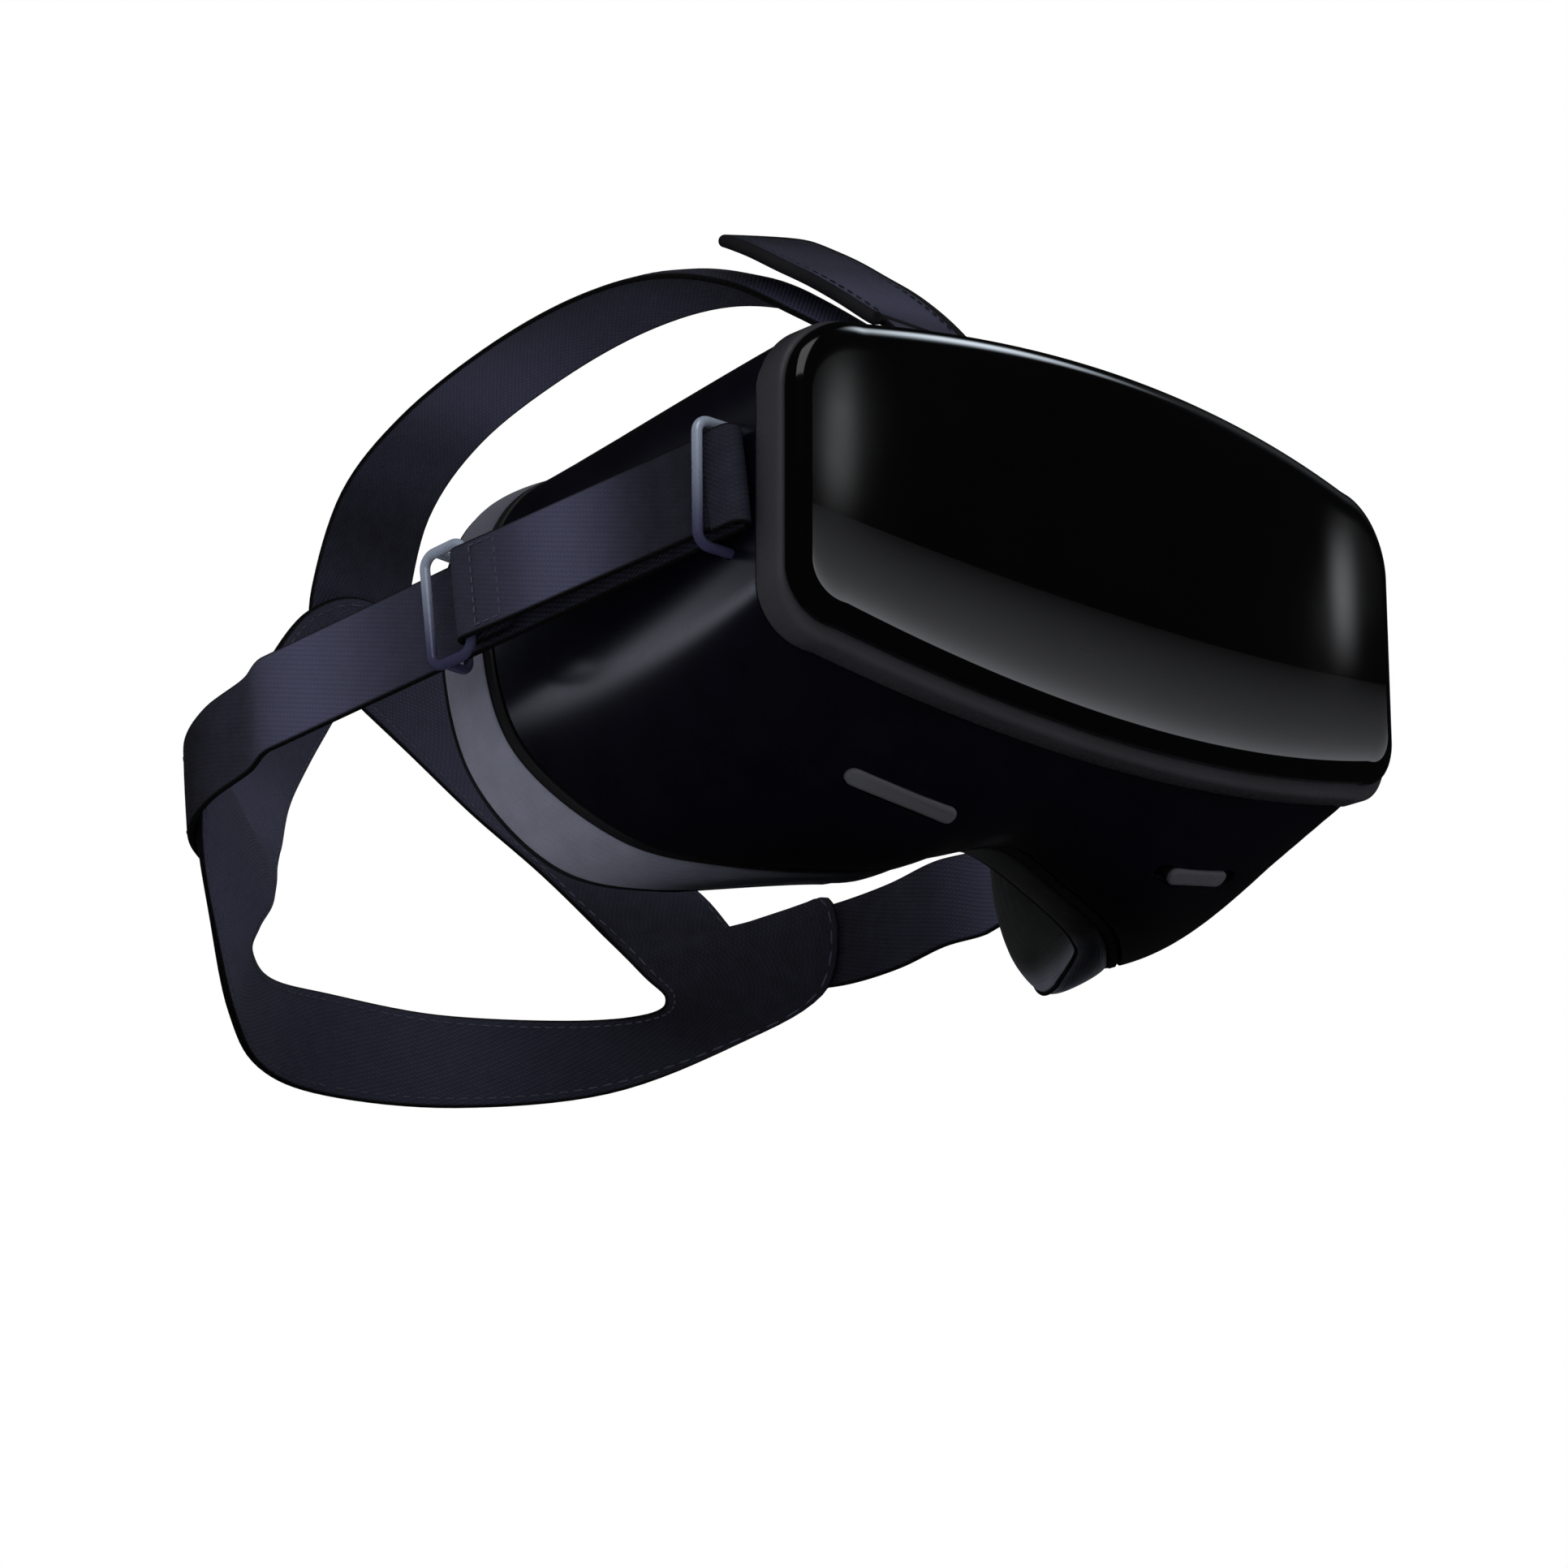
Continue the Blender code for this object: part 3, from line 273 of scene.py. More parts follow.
def grained(name, first, second, roughness, metallic=0.0, scale=700.0, stretch=None, bump=0.12,
            spread=0.08, **rest):
    """Plastic or metal with a grain: colour, roughness and height all vary a little."""
    net = Net(name, roughness, metallic)
    grain = net.noise(scale, 4.0, stretch)
    cloud = net.noise(scale / 18.0, 2.0)
    net.set(Base_Color=net.mix(net.step(cloud, 0.3, 0.7), first, second),
            Roughness=net.step(grain, 0.25, 0.75, roughness - spread, roughness + spread))
    net.bump(grain, bump, 0.00008)
    net.set(**rest)
    return net.material


def make_painted_reflection():
    """Lower part of the visor: a painted reflection, a paler grey that grows paler downwards."""
    net = Net("painted_reflection_panel", 0.12)
    depth = net.maths("SUBTRACT", 1.0, net.attribute("rise"))
    even = net.maths("MULTIPLY", depth, 0.38)
    foot = net.maths("MULTIPLY", net.maths("POWER", depth, 8.0), 0.62)
    cloud = net.noise(40.0, 2.0)
    pale = net.mix(net.step(cloud, 0.2, 0.8), (0.125, 0.125, 0.130), (0.114, 0.114, 0.119))
    net.set(Base_Color=net.mix(net.maths("ADD", even, foot), (0.0045, 0.0045, 0.0049), pale),
            Roughness=net.step(cloud, 0.2, 0.8, 0.10, 0.16), Coat_Weight=0.3, Coat_Roughness=0.05)
    return net.material


def make_web(name, dark, light, edge):
    """Woven webbing: painted light and shade run along the strap, the selvedge is darker."""
    net = Net(name, 0.78)
    uv = net.node("ShaderNodeUVMap").outputs[0]
    parts = net.node("ShaderNodeSeparateXYZ", {0: uv})
    across = net.maths("MULTIPLY", parts.outputs[0], 2 * math.pi / 1.15)
    along = net.maths("MULTIPLY", parts.outputs[1], 2 * math.pi / 1.5)
    weft = net.maths("SINE", net.maths("ADD", across, along))
    warp = net.maths("SINE", net.maths("SUBTRACT", across, net.maths("MULTIPLY", along, 0.5)))
    weave = net.maths("MULTIPLY", net.maths("ADD", weft, 1.3), net.maths("ADD", warp, 1.3))
    mottle = net.maths("MULTIPLY", net.maths("SUBTRACT", net.noise(260.0, 3.0), 0.5), 0.18)
    # Dark to light along the strap: painted light and shade.
    body = net.mix(net.maths("ADD", net.attribute("painted_shading"), mottle, clamp=True), dark, light)
    body = net.mix(net.step(weave, 0.0, 5.0, 0.30, 0.0), body, edge)
    rim = net.step(net.attribute("rim"), 0.25, 1.0)
    net.set(Base_Color=net.mix(rim, edge, body), Specular_IOR_Level=0.3,
            Roughness=net.step(weave, 0.0, 4.0, 0.9, 0.68))
    net.bump(weave, 0.32, 0.00016)
    return net.material


def make_knit():
    """Face cushion: grey knit outside with painted light and shade, near-black painted shade inside.
    """
    net = Net("cushion_knit", 0.88)
    uv = net.node("ShaderNodeUVMap").outputs[0]
    parts = net.node("ShaderNodeSeparateXYZ", {0: uv})
    course = net.wave(parts.outputs[1], 1.3)
    wale = net.wave(parts.outputs[0], 1.1)
    knit = net.maths("ADD", net.maths("ABSOLUTE", wale), net.maths("MULTIPLY", course, 0.5))
    mottle = net.noise(150.0, 4.0)
    # The grey runs from dark to pale by painted light and shade.
    grey = net.mix(net.attribute("painted_shading"), (0.042, 0.042, 0.058), (0.172, 0.175, 0.225))
    grey = net.mix(net.step(mottle, 0.2, 0.8, 0.0, 0.22), grey, (0.03, 0.03, 0.045))
    # Near-black on the inside and over the nose: painted shade.
    inner = net.mix(net.step(mottle, 0.3, 0.7), (0.0042, 0.0046, 0.0052), (0.0075, 0.0080, 0.0090))
    net.set(Base_Color=net.mix(net.attribute("side"), inner, grey), Sheen_Weight=0.05,
            Sheen_Roughness=0.6, Specular_IOR_Level=0.3)
    net.bump(net.maths("ADD", knit, net.maths("MULTIPLY", mottle, 0.7)), 0.35, 0.00018)
    return net.material


def make_wire():
    """Polished wire with a painted reflection: steel blue at its top and indigo at its foot."""
    net = Net("wire", 0.30, 0.55)
    grain = net.noise(900.0, 3.0)
    # Painted reflection of the sky: steel blue at the top, indigo at the foot.
    colour = net.mix(net.step(net.attribute("height"), 0.0, 1.0), (0.060, 0.058, 0.130),
                     (0.46, 0.52, 0.64))
    net.set(Base_Color=colour, Roughness=net.step(grain, 0.2, 0.8, 0.24, 0.38))
    net.bump(grain, 0.06, 0.00004)
    return net.material


def make_board():
    net = Net("solder_mask", 0.42)
    where = net.node("ShaderNodeTexCoord").outputs["Object"]
    tracks = net.node("ShaderNodeTexVoronoi", {"Vector": where, "Scale": 420.0},
                      distance="MANHATTAN", feature="DISTANCE_TO_EDGE").outputs["Distance"]
    mask = net.step(tracks, 0.02, 0.06)
    net.set(Base_Color=net.mix(mask, (0.02, 0.14, 0.055), (0.006, 0.055, 0.024)))
    net.bump(mask, 0.3, 0.00005)
    return net.material


def make_lens():
    """Lens with fine concentric steps and a dark, faintly blue depth."""
    net = Net("lens_glass", 0.04)
    fog = net.step(net.noise(60.0, 2.0), 0.3, 0.7)
    net.set(Base_Color=net.mix(fog, (0.010, 0.013, 0.020), (0.017, 0.019, 0.030)),
            Coat_Weight=0.6, Coat_Roughness=0.03)
    net.bump(net.wave(net.attribute("radius"), 0.55), 0.10, 0.00004)
    return net.material


GLASS = grained("visor_glass", (0.0012, 0.0012, 0.0015), (0.0008, 0.0008, 0.0010), 0.10,
                scale=30.0, bump=0.0, spread=0.03, Coat_Weight=0.35, Coat_Roughness=0.05)
PAINTED_REFLECTION = make_painted_reflection()
WEB = make_web("webbing", (0.0090, 0.0090, 0.0200), (0.062, 0.063, 0.118), (0.0022, 0.0018, 0.0030))
WEB_FLAP = make_web("flap_webbing", (0.0095, 0.0095, 0.0230), (0.046, 0.047, 0.092),
                    (0.0016, 0.0016, 0.0018))
KNIT = make_knit()
WIRE = make_wire()
TRIM = grained("trim", (0.0330, 0.0315, 0.0380), (0.0290, 0.0277, 0.0335), 0.42, scale=900.0)
SHELL = grained("shell", (0.0020, 0.0020, 0.0062), (0.0014, 0.0014, 0.0046), 0.25, scale=1600.0,
                bump=0.012, spread=0.02)
BAR = grained("slot_bar", (0.086, 0.085, 0.096), (0.074, 0.073, 0.083), 0.45, scale=900.0)
PLASTIC = grained("black_plastic", (0.010, 0.010, 0.012), (0.007, 0.007, 0.009), 0.50)
LINER = grained("liner", (0.0062, 0.0066, 0.0074), (0.0042, 0.0046, 0.0052), 0.80, scale=500.0,
                bump=0.35)
STEEL = grained("steel", (0.45, 0.46, 0.48), (0.36, 0.37, 0.39), 0.32, 1.0, 600.0, (0.08, 1.0, 1.0))
COPPER = grained("copper", (0.55, 0.27, 0.14), (0.44, 0.21, 0.11), 0.36, 1.0, 600.0,
                 (0.06, 1.0, 1.0))
MAGNESIUM = grained("magnesium", (0.30, 0.31, 0.32), (0.24, 0.25, 0.26), 0.55, 1.0, 320.0, bump=0.3)
POUCH = grained("foil_pouch", (0.23, 0.24, 0.26), (0.17, 0.18, 0.20), 0.34, 0.7, 70.0, bump=0.5)
ACETAL = grained("acetal", (0.70, 0.69, 0.66), (0.60, 0.59, 0.56), 0.48)
DISPLAY = grained("display", (0.010, 0.012, 0.018), (0.006, 0.008, 0.012), 0.14, scale=1500.0,
                  bump=0.05, spread=0.04)
BOARD = make_board()
LENS = make_lens()
THREAD = grained("thread", (0.050, 0.048, 0.075), (0.036, 0.034, 0.058), 0.85, scale=900.0)
DARK_THREAD = grained("dark_thread", (0.006, 0.006, 0.010), (0.004, 0.004, 0.007), 0.85,
                      scale=900.0)


# ---------------------------------------------------------------- mesh helpers

def fit(made, body, node=None):
    """Put a piece on its body, in place of a CAD node if one is named."""
    if node:
        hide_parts(node)
    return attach(made, body)


def piece(name, verts, faces, material, attributes=None, uvs=None, smooth=True, sharp=35):
    """Mesh object from points in drawing millimetres, its faces turned outwards."""
    mesh = bpy.data.meshes.new(name)
    mesh.from_pydata([place(point) for point in verts], [], faces)
    mesh.validate()
    for key, values in (attributes or {}).items():
        layer = mesh.attributes.new(key, "FLOAT", "POINT")
        layer.data.foreach_set("value", [float(value) for value in values])
    if uvs:
        layer = mesh.uv_layers.new(name="UVMap")
        for polygon, corners in zip(mesh.polygons, uvs):
            for loop, uv in zip(polygon.loop_indices, corners):
                layer.data[loop].uv = uv
    work = bmesh.new()
    work.from_mesh(mesh)
    bmesh.ops.recalc_face_normals(work, faces=work.faces)
    work.to_mesh(mesh)
    work.free()
    if smooth:
        mesh.shade_smooth()
        if sharp:
            mesh.set_sharp_from_angle(angle=math.radians(sharp))
    made = bpy.data.objects.new(name, mesh)
    SCENE.collection.objects.link(made)
    mesh.materials.append(material)
    return made


def ring_faces(rows, count, closed, caps=True):
    """Quads between rows of equal length, and n-gon caps when the rows don't close."""
    faces = []
    for r in range(rows if closed else rows - 1):
        s = (r + 1) % rows
        for i in range(count):
            j = (i + 1) % count
            faces.append((r * count + i, r * count + j, s * count + j, s * count + i))
    if not closed and caps:
        faces += [tuple(range(start, start + count)) for start in (0, (rows - 1) * count)]
    return faces


def ring_piece(name, rings, material, closed=False, **rest):
    verts = [point for ring in rings for point in ring]
    return piece(name, verts, ring_faces(len(rings), len(rings[0]), closed), material, **rest)


def bevel(made, width, angle=35):
    step = made.modifiers.new("round", "BEVEL")
    step.width = width * MM
    step.segments = 2
    step.limit_method = "ANGLE"
    step.angle_limit = math.radians(angle)
    step.harden_normals = False


def applied(made):
    """Replace an object's mesh by its evaluated one and drop the modifiers."""
    bpy.context.view_layer.update()
    graph = bpy.context.evaluated_depsgraph_get()
    result = bpy.data.meshes.new_from_object(made.evaluated_get(graph))
    made.modifiers.clear()
    made.data = result


def cut(target, *tools):
    """Cut the tools out of target with one exact Boolean each."""
    for tool in tools:
        step = target.modifiers.new("cut", "BOOLEAN")
        step.operation = "DIFFERENCE"
        step.solver = "EXACT"
        step.material_mode = "TRANSFER"
        step.object = tool
    applied(target)
    for tool in tools:
        bpy.data.objects.remove(tool, do_unlink=True)


def spline(four, t):
    a, b, c, d = four
    return 0.5 * (2 * b + (c - a) * t + (2 * a - 5 * b + 4 * c - d) * t ** 2
                  + (3 * b - a - 3 * c + d) * t ** 3)


def smooth_path(points, steps, beyond=None):
    """Catmull-Rom curve through the points, straight at its ends or led by two points beyond."""
    points = [Vector(point) for point in points]
    first, last = beyond or (2 * points[0] - points[1], 2 * points[-1] - points[-2])
    knots = [first, *points, last]
    path = [spline(knots[i - 1:i + 3], k / steps)
            for i in range(1, len(points)) for k in range(steps)]
    return path + [points[-1]]


def closed_path(points, steps):
    """Catmull-Rom curve through a closed loop of points."""
    count = len(points)
    path = []
    for i in range(count):
        four = [Vector(points[(i + k) % count]) for k in (-1, 0, 1, 2)]
        path += [spline(four, k / steps) for k in range(steps)]
    return path


def smooth_pairs(pairs, steps, curve=smooth_path):
    """Two smooth curves through the first and the second point of each pair."""
    return list(zip(*(curve([pair[i] for pair in pairs], steps) for i in (0, 1))))


def flipped(points, side):
    return [Vector((point[0] * side, point[1], point[2])) for point in points]


def tube_rings(path, radius, segments=20, closed=False):
    points = [Vector(point) for point in path]
    count = len(points)
    rings = []
    normal = None
    for i, point in enumerate(points):
        before = points[i - 1] if closed or i else points[0]
        after = points[(i + 1) % count] if closed or i < count - 1 else points[-1]
        tangent = (after - before).normalized()
        if normal is None:
            normal = tangent.orthogonal().normalized()
        normal = (normal - tangent * normal.dot(tangent)).normalized()
        side = tangent.cross(normal)
        rings.append([point + (normal * math.cos(2 * math.pi * k / segments)
                               + side * math.sin(2 * math.pi * k / segments)) * radius
                      for k in range(segments)])
    return rings


def rounded_path(corners, radius, closed, steps=10):
    """Replace each corner of a path by an arc."""
    points = [Vector(corner) for corner in corners]
    count = len(points)
    path = []
    for i, corner in enumerate(points):
        if not closed and i in (0, count - 1):
            path.append(corner)
            continue
        back = (points[i - 1] - corner).normalized()
        ahead = (points[(i + 1) % count] - corner).normalized()
        middle = corner + (back + ahead) * radius
        for k in range(steps + 1):
            angle = k / steps * math.pi / 2
            path.append(middle - ahead * radius * math.cos(angle) - back * radius * math.sin(angle))
    return path


def turned(name, centre, profile, material, **rest):
    """Turn a (radius, y) profile round an axis along Y."""
    turns = [2 * math.pi * k / TURN_STEPS for k in range(TURN_STEPS)]
    rings = [[Vector((centre[0] + radius * math.cos(turn), y, centre[1] + radius * math.sin(turn)))
              for turn in turns] for radius, y in profile]
    return ring_piece(name, rings, material, **rest)


# ---------------------------------------------------------------- visor

def bulge(x):
    return -BULGE * (1 - (x / HALF_WIDTH) ** 2)


def edge_height(x, half, height, rise, radius):
    """Height of the visor outline at x: a shallow arch that ends in round corners."""
    corner = half - radius
    across = min(abs(x), corner)
    arch = height + rise * (1 - (across / half) ** 2)
    beyond = min(abs(x) - across, radius)
    return arch - radius + math.sqrt(max(radius ** 2 - beyond ** 2, 0.0))


def columns(side=0.0, top=0.0, bottom=0.0):
    """Foot and head of the visor outline at each x, grown by side, top and bottom."""
    half = HALF_WIDTH + side
    found = []
    for i in range(COLUMNS + 1):
        # Closer together towards the round corners.
        x = half * math.sin(math.pi * (i / COLUMNS - 0.5))
        upper = edge_height(x, half, TOP + top, TOP_RISE, TOP_RADIUS + side)
        lower = edge_height(x, half, BOTTOM + bottom, BOTTOM_RISE, BOTTOM_RADIUS + side)
        found.append((x, -lower, upper))
    return found


def column_ring(found, depth):
    lower = [Vector((x, bulge(x) + depth, low)) for x, low, high in found]
    upper = [Vector((x, bulge(x) + depth, high)) for x, low, high in found]
    return lower + upper[::-1]


def inset_columns(inset, depth):
    """Ring of the visor's outline, drawn in evenly by inset."""
    return column_ring(columns(-inset, -inset, -inset), depth)


def frame_columns(inset):
    return columns(FRAME_PROUD_SIDE - inset, FRAME_PROUD_TOP - inset, FRAME_PROUD_BOTTOM - inset)


def panel_edge(x):
    """Upper edge of the painted reflection on the visor's lower part."""
    return -15.8 + 0.00095 * x ** 2


def visor_glass():
    rings = [inset_columns(0.4, GLASS_THICKNESS), inset_columns(0.0, GLASS_THICKNESS - 0.3),
             inset_columns(0.0, 0.0)]
    steps = 9
    for k in range(1, steps + 1):
        angle = math.pi / 2 * k / steps
        rings.append(inset_columns(GLASS_ROUNDING * (1 - math.cos(angle)),
                                   -GLASS_DOME * math.sin(angle)))
    count = len(rings[0])
    verts = [point for ring in rings for point in ring]
    faces = ring_faces(len(rings), count, False, caps=False)
    rise = [0.0] * len(verts)
    last = (len(rings) - 1) * count
    # Front face: a grid from the lower edge to the painted reflection's edge and on to the upper
    # edge.
    lower_rows, upper_rows = 8, 14
    grid = []
    for i in range(count // 2):
        low, high = rings[-1][i], rings[-1][count - 1 - i]
        middle = min(max(panel_edge(low.x), low.z + 0.05), high.z - 0.05)
        heights = [low.z + (middle - low.z) * k / lower_rows for k in range(1, lower_rows + 1)]
        heights += [middle + (high.z - middle) * k / upper_rows for k in range(1, upper_rows)]
        row = [last + i, *range(len(verts), len(verts) + len(heights)), last + count - 1 - i]
        verts += [Vector((low.x, low.y, z)) for z in heights]
        rise += [0.0] * len(heights)
        grid.append(row)
        for index in row:
            rise[index] = min(max((verts[index].z - low.z) / (middle - low.z), 0.0), 1.0)
    reflection_faces = []
    for first, second in zip(grid, grid[1:]):
        for k in range(lower_rows + upper_rows):
            if k < lower_rows:
                reflection_faces.append(len(faces))
            faces.append((first[k], second[k], second[k + 1], first[k + 1]))
    faces.append(tuple(range(count)))
    made = piece("visor_glass", verts, faces, GLASS, {"rise": rise})
    # The second material is the painted reflection on the lower rows of the front face.
    made.data.materials.append(PAINTED_REFLECTION)
    for index in reflection_faces:
        made.data.polygons[index].material_index = 1
    return fit(made, "headset", "front_visor")


def trim_frame():
    front = GLASS_THICKNESS + GAP
    back = GLASS_THICKNESS + FRAME_DEPTH
    rounding = 1.3
    turns = [math.radians(angle) for angle in range(0, 91, 15)]
    profile = [(rounding * (1 - math.sin(a)), front + rounding * (1 - math.cos(a))) for a in turns]
    profile += [(0.0, back - 0.5), (0.15, back - 0.15), (0.5, back)]
    rings = [column_ring(frame_columns(inset), depth) for inset, depth in profile]
    rings += [inset_columns(5, depth) for depth in (back, front)]
    fit(ring_piece("trim_frame", rings, TRIM, closed=True), "headset", "visor_frame")


# ---------------------------------------------------------------- housing

def outline_half():
    """The frame's outline on the +X side, from the chin's middle to the brow's middle."""
    half = [column for column in frame_columns(0.6) if column[0] >= -1e-6]
    lower = [Vector((x, 0, low)) for x, low, high in half]
    upper = [Vector((x, 0, high)) for x, low, high in half]
    return lower + upper[::-1]


def points_at(line, shares):
    """Points at the given shares of a line's length."""
    lengths = [(b - a).length for a, b in zip(line, line[1:])]
    total = sum(lengths)
    found = []
    for share in shares:
        left = share * total
        for a, b, length in zip(line, line[1:], lengths):
            if left <= length and length > 0:
                found.append(a.lerp(b, left / length))
                break
            left -= length
        else:
            found.append(line[-1].copy())
    return found


def station_curve(column):
    """One edge through the stations, level where it crosses the middle plane."""
    points = [Vector(station[column]) for station in STATIONS]
    return smooth_path(points, STATION_STEPS, flipped((points[1], points[-2]), -1))


def station_shares():
    shares = [station[0] for station in STATIONS]
    fine = [low + (high - low) * k / STATION_STEPS
            for low, high in zip(shares, shares[1:]) for k in range(STATION_STEPS)]
    return fine + [1.0]


def whole_ring(half):
    return list(half) + flipped(half[-2:0:-1], -1)


FRONT_EDGE = points_at(outline_half(), station_shares())
REAR_EDGE = station_curve(1)
CUSHION_EDGE = station_curve(2)


def housing_ring(progress):
    """Section of the shell from the frame, at 0, to the face seat, at 1."""
    half = []
    for start, end in zip(FRONT_EDGE, REAR_EDGE):
        depth = bulge(start.x) + GLASS_THICKNESS + FRAME_DEPTH + GAP
        low = min(max((10.0 - start.z) / 40.0, 0.0), 1.0)
        chin = 1 - (1 - progress) ** 2.2
        drop = progress ** 1.1 * (1 - low) + chin * low
        spread = progress ** 1.3 * (1 - low) + progress * low
        half.append(Vector((start.x + (end.x - start.x) * spread,
                            depth + (end.y - depth) * progress,
                            start.z + (end.z - start.z) * drop)))
    return whole_ring(half)


def inset_ring(ring, distance, reach=3):
    """Move a ring towards its inside, square to its run in the X-Z plane."""
    moved = []
    for i, point in enumerate(ring):
        run = ring[(i + reach) % len(ring)] - ring[i - reach]
        moved.append(point + Vector((-run.z, 0, run.x)).normalized() * distance)
    return moved


def shifted(ring, distance):
    return [point + Vector((0, distance, 0)) for point in ring]


def chin_point(node):
    """Middle of a chin bar, on the surface of the slanted chin."""
    low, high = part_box(node)
    return ((low + high) / 2 - ZERO) / MM + CHIN_NORMAL * (BAR_DEPTH - BAR_PROUD) / 2


def stadium_ring(centre, length, half, steps=10):
    """A round-ended outline in the chin's plane."""
    across = CHIN_NORMAL.cross(Vector((1, 0, 0)))
    ring = []
    for end in (1, -1):
        for k in range(steps + 1):
            angle = math.pi * (k / steps - 0.5)
            along = end * (length / 2 - half + half * math.cos(angle))
            ring.append(centre + Vector((along, 0, 0)) + across * end * half * math.sin(angle))
    return ring


def housing_top(x, y):
    """Height of the shell's roof near x, y."""
    roof = [point for k in range(41) for point in housing_ring(k / 40) if point.z > 0]
    return min(roof, key=lambda point: abs(point.x - x) + abs(point.y - y)).z


def disc_tool(start, end, radius, segments=32):
    start, end = Vector(start), Vector(end)
    turn = (end - start).to_track_quat("Z", "Y").to_matrix()
    rings = [[centre + turn @ Vector((math.cos(2 * math.pi * k / segments),
                                      math.sin(2 * math.pi * k / segments), 0)) * radius
              for k in range(segments)] for centre in (start, end)]
    return ring_piece("tool", rings, LINER)


def shell_tools():
    """Cutters for the chin's slots, the button, the port and the wire rings' ends."""
    tools = []
    for name, node, body, length, travel in CONTROLS:
        rings = [stadium_ring(chin_point(node) + CHIN_NORMAL * off, length + 2 * travel + 0.7,
                              SLOT_HALF) for off in (-8, 8)]
        tools.append(ring_piece("tool", rings, LINER))
    x, y = BUTTON
    top = housing_top(x, y)
    tools.append(disc_tool((x, y, top - 9), (x, y, top + 9), BUTTON_HOLE, 48))
    tools.append(ring_piece("tool", [[Vector((px, 24 + 4.8 * sy, -24 + 1.9 * sz))
                                      for sy, sz in ((-1, -1), (1, -1), (1, 1), (-1, 1))]
                                     for px in (78, 99)], LINER, smooth=False))
    for name, sign in SIDES:
        for height in (RING_HALF, -RING_HALF):
            z = strap_point(RING_ALONG, RING_OFFSET, height, sign).z
            tools.append(disc_tool((sign * 80, RING_Y, z), (sign * 99, RING_Y, z),
                                   WIRE_RADIUS + GAP))
    return tools


def main_shell():
    """The hollow shell, and its outer surface as it is before the openings are cut."""
    sections = 26
    outer = [housing_ring(k / sections) for k in range(sections + 1)]
    front = inset_ring(outer[0], 0.5)
    outer[0] = shifted(outer[0], 0.45)
    rear = inset_ring(outer[-1], 0.6)
    outer[-1] = shifted(outer[-1], -0.5)
    inner = [inset_ring(housing_ring(k / 13), WALL) for k in range(14)][::-1]
    made = ring_piece("main_shell", [front, *outer, rear, *inner], SHELL, closed=True)
    tools = shell_tools()
    surface = BVHTree.FromObject(made, bpy.context.evaluated_depsgraph_get())
    cut(made, *tools)
    made.data.shade_smooth()
    made.data.set_sharp_from_angle(angle=math.radians(32))
    step = made.modifiers.new("even", "WEIGHTED_NORMAL")
    step.keep_sharp = True
    step.weight = 90
    return fit(made, "headset", "main_housing"), surface


def chin_bars(surface):
    """Rounded bars that follow the chin's surface, each with a flange behind its slot."""
    cap = ((-0.4, 0.0), (0.25, 0.0), (0.55, 0.10), (0.74, 0.32), (0.82, 0.7), (0.80, 1.2))
    for name, node, body, length, travel in CONTROLS:
        point = chin_point(node)
        # A bar that slides has a longer, deeper flange, moved a little off its middle.
        flange = 2.0 + travel * 1.275
        depth = 3.8 + 0.35 * travel
        base = point + Vector((-0.125 * travel, 0, 0))
        sections = [(-off, base, length + 2 * grow, BAR_HALF + min(grow, 2.0)) for off, grow in
                    ((depth + 0.6, 0.0), (depth + 0.6, flange), (depth, flange), (depth, 0.0))]
        sections += [(off, point, length - 2 * inset, BAR_HALF - inset) for off, inset in cap]
        rings = [[on_surface(surface, spot) + CHIN_NORMAL * off
                  for spot in stadium_ring(centre, long, half)]
                 for off, centre, long, half in sections]
        made = ring_piece(name, rings, BAR)
        # The flange and the stem, up to the cap's foot, are black.
        made.data.materials.append(PLASTIC)
        buried = (len(sections) - len(cap) + 1) * len(rings[0])
        for polygon in made.data.polygons:
            polygon.material_index = int(max(polygon.vertices) < buried)
        fit(made, body, node)


def on_surface(surface, spot):
    """Where the line through spot along the chin's normal meets the housing."""
    hit = surface.ray_cast(place(spot + CHIN_NORMAL * 6.0), -CHIN_NORMAL, 0.012)[0]
    return (hit - ZERO) / MM if hit else spot


def power_key():
    x, y = BUTTON
    top = housing_top(x, y)
    profile = ((0.05, -3.2), (4.9, -3.2), (5.0, -3.0), (5.0, 0.7), (4.9, 1.05), (4.6, 1.25),
               (4.2, 1.3), (3.6, 1.2), (2.4, 0.95), (1.2, 0.85), (0.05, 0.82))
    turns = [2 * math.pi * k / 64 for k in range(64)]
    rings = [[Vector((x + radius * math.cos(turn), y + radius * math.sin(turn), top + z))
              for turn in turns] for radius, z in profile]
    fit(ring_piece("power_key_cap", rings, BAR), "power_key", "power_button")


# ---------------------------------------------------------------- face interface

def face_ring():
    rear = whole_ring(REAR_EDGE)
    rings = [inset_ring(shifted(rear, SEAT_GAP + depth), inset) for inset, depth in
             ((0.4, 0.0), (0.0, 0.35), (0.0, FACE_FRAME_THICKNESS - 0.4),
              (0.4, FACE_FRAME_THICKNESS), (9.0, FACE_FRAME_THICKNESS), (9.0, 0.0))]
    made = ring_piece("face_ring", rings, PLASTIC, closed=True)
    fit(made, "face_interface", "face_frame")


# Cushion cross-section: share of the way from seat to lip, inset, 1 outside to 0 inside.
CUSHION_PROFILE = (
    (0.00, 0.9, 1.0), (0.05, 0.2, 1.0), (0.18, -0.25, 1.0), (0.35, -0.5, 1.0), (0.55, -0.55, 1.0),
    (0.72, -0.4, 1.0), (0.86, 0.1, 1.0), (0.95, 1.1, 1.0), (1.00, 2.9, 0.85), (1.01, 5.0, 0.45),
    (1.00, 7.2, 0.1), (0.94, 9.4, 0.0), (0.82, 11.0, 0.0), (0.62, 11.8, 0.0), (0.40, 11.4, 0.0),
    (0.20, 10.0, 0.0), (0.05, 9.0, 0.0), (0.00, 8.2, 0.0), (0.00, 4.5, 0.5),
)
LIP_SEAM = 7


